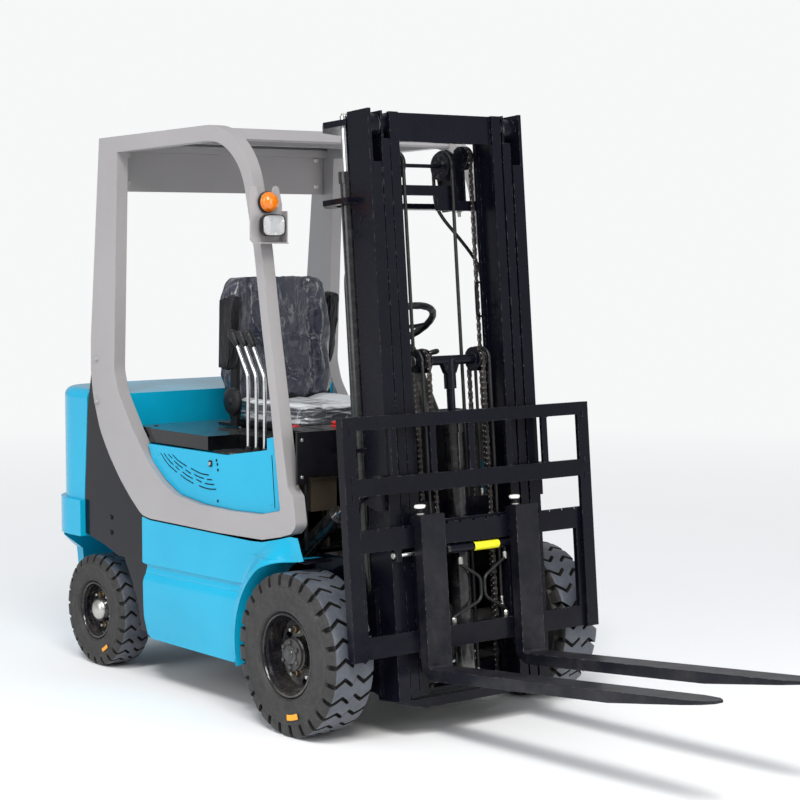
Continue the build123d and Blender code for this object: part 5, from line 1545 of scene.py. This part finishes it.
b.lathe(sw, ax, [(0.030, -0.020), (0.036, -0.014), (0.037, -0.002), (0.034, 0.004), (0.026, 0.0075), (0.024, 0.0065),
                 (0.002, 0.0062)], 44, "plastic")
kp = wp(0.152, math.radians(200), 0.012)
b.lathe(kp, ax, [(0.010, -0.002), (0.008, 0.004), (0.009, 0.008), (0.0155, 0.014), (0.0175, 0.022), (0.0170, 0.030),
                 (0.012, 0.0355), (0.002, 0.037)], 32, "plastic")
o = b.make("steering_wheel_rim", "steering_wheel", angle=40)
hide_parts("steering_wheel")

b = Build("V")
# shroud halves, direction lever and switches on the column
p0 = sw - ax * 0.100
for t in (0.012, 0.075, 0.150):
    c0 = p0 - ax * t
    b.lathe(c0, ax, [(0.0465, -0.002), (0.0475, 0.0), (0.0475, 0.003), (0.0465, 0.005)], 40, "plastic")
for s, L in ((1, 0.105), (-1, 0.085)):
    c0 = p0 - ax * 0.030 + Vector((0, s * 0.044, 0))
    e0 = c0 + Vector((-0.006, s * L, 0.016))
    b.tube([c0, c0.lerp(e0, 0.5), e0], 0.0042, "chrome", 12)
    b.lathe(e0, (e0 - c0).normalized(), [(0.006, -0.030), (0.0095, -0.026), (0.0105, 0.0), (0.0085, 0.010),
                                         (0.002, 0.012)], 22, "plastic")
b.lathe(p0 - ax * 0.060 + Vector((0, 0.0455, 0)), (0, 1, 0), [(0.010, 0), (0.010, 0.006), (0.008, 0.010), (0.001, 0.0105)],
        24, "zinc")
# panel gaps and screws of the cowl
for y in (-0.40, 0.40):
    b.tube([(-0.060, y, 1.0585), (-0.205, y, 1.0585)], 0.0009, "slot", 6)
for y in (-0.46, -0.20, 0.20, 0.46):
    b.lathe((-0.100, y, 1.058), (0, 0, 1), [(0.0075, -0.001), (0.0075, 0.0008), (0.0055, 0.0024), (0.001, 0.0028)], 18, "plastic")
for y in (-0.515, 0.515):
    for z in (0.90, 1.03):
        b.bolt((-0.0418, y, z), (1, 0, 0), 0.0065, 0.004, "zinc", False)
b.lathe((-0.153, -0.280, 1.058), (0, 0, 1), [(0.019, -0.001), (0.019, 0.003), (0.012, 0.004), (0.012, 0.009), (0.0165, 0.010),
                                            (0.0170, 0.014), (0.013, 0.018), (0.001, 0.0185)], 28, "red")
# display pod on the cowl and its dark face
b.box((-0.165, 0.165, 1.056), (-0.085, 0.305, 1.092), "plastic", 0.008)
b.box((-0.158, 0.175, 1.090), (-0.092, 0.295, 1.0935), "slot", 0.002)
b.make("cowl_trim", "chassis", angle=40)

# ----------------------------------------------------------------------
# guard: rear cross bar bolts, roof sheet rivets
# ----------------------------------------------------------------------
b = Build("V")
for s in (-1, 1):
    for x in (-1.24, -1.02, -0.80, -0.60):
        b.lathe((x, s * 0.470, 2.112 + (x + 1.24) * 0.035), (0, 0, -1), [(0.0075, -0.004), (0.0075, 0.006), (0.005, 0.009),
                                                                        (0.001, 0.0095)], 18, "guard")
    for z in (1.94, 2.05):
        b.bolt((-1.2615, s * 0.460, z), (1, 0, 0), 0.009, 0.006, "zinc", True)
    # bolts that hold the guard's foot to the weight
    for z in (1.08, 1.25):
        b.bolt((-1.36, s * 0.5505, z), (0, s, 0), 0.011, 0.007, "guard", True)
b.make("guard_fixings", "chassis", angle=40)

# ----------------------------------------------------------------------
# counterweight, rear panel and axle trim
# ----------------------------------------------------------------------
b = Build("V")
for s in (-1, 1):
    b.lathe((-1.70, s * 0.300, 1.1195), (0, 0, 1), [(0.022, -0.004), (0.022, 0.0005), (0.017, 0.001), (0.016, -0.003),
                                                   (0.002, -0.003)], 30, "slot")
    for z in (0.56, 0.62):
        b.bolt((-1.30, s * 0.528, z), (0, s, 0), 0.009, 0.005, "black", True)
    for x, z in ((-1.06, 0.25), (-1.06, 0.42)):
        b.bolt((x, s * 0.508, z), (0, s, 0), 0.008, 0.005, "black", True)
b.lathe((-1.768, 0, 0.452), (0, 0, -1), [(0.024, 0.0), (0.024, 0.004), (0.015, 0.006)], 30, "cyan")
b.make("rear_fixings", "chassis", angle=40)
b = Build("V")
for s in (-1, 1):
    for k in range(10):
        a = 2 * math.pi * k / 10
        b.bolt((0.094 * math.cos(a), s * 0.4035, 0.288 + 0.094 * math.sin(a)), (0, -s, 0), 0.0075, 0.006, "zinc", False)
b.make("axle_bolts", "chassis", angle=40)
# pedal pads with ribs
b = Build("V")
for wd, yy in ((0.060, -0.190), (0.060, -0.060), (0.044, 0.090)):
    for k in range(6):
        t = 0.14 + 0.145 * k
        x = -0.206 + (-0.250 + 0.206) * t
        z = 0.704 + (0.790 - 0.704) * t
        b.tube([(x + 0.0005, yy - wd / 2 + 0.003, z + 0.0005), (x + 0.0005, yy + wd / 2 - 0.003, z + 0.0005)], 0.0022, "hose", 8)
b.make("pedal_ribs", "chassis", angle=40)
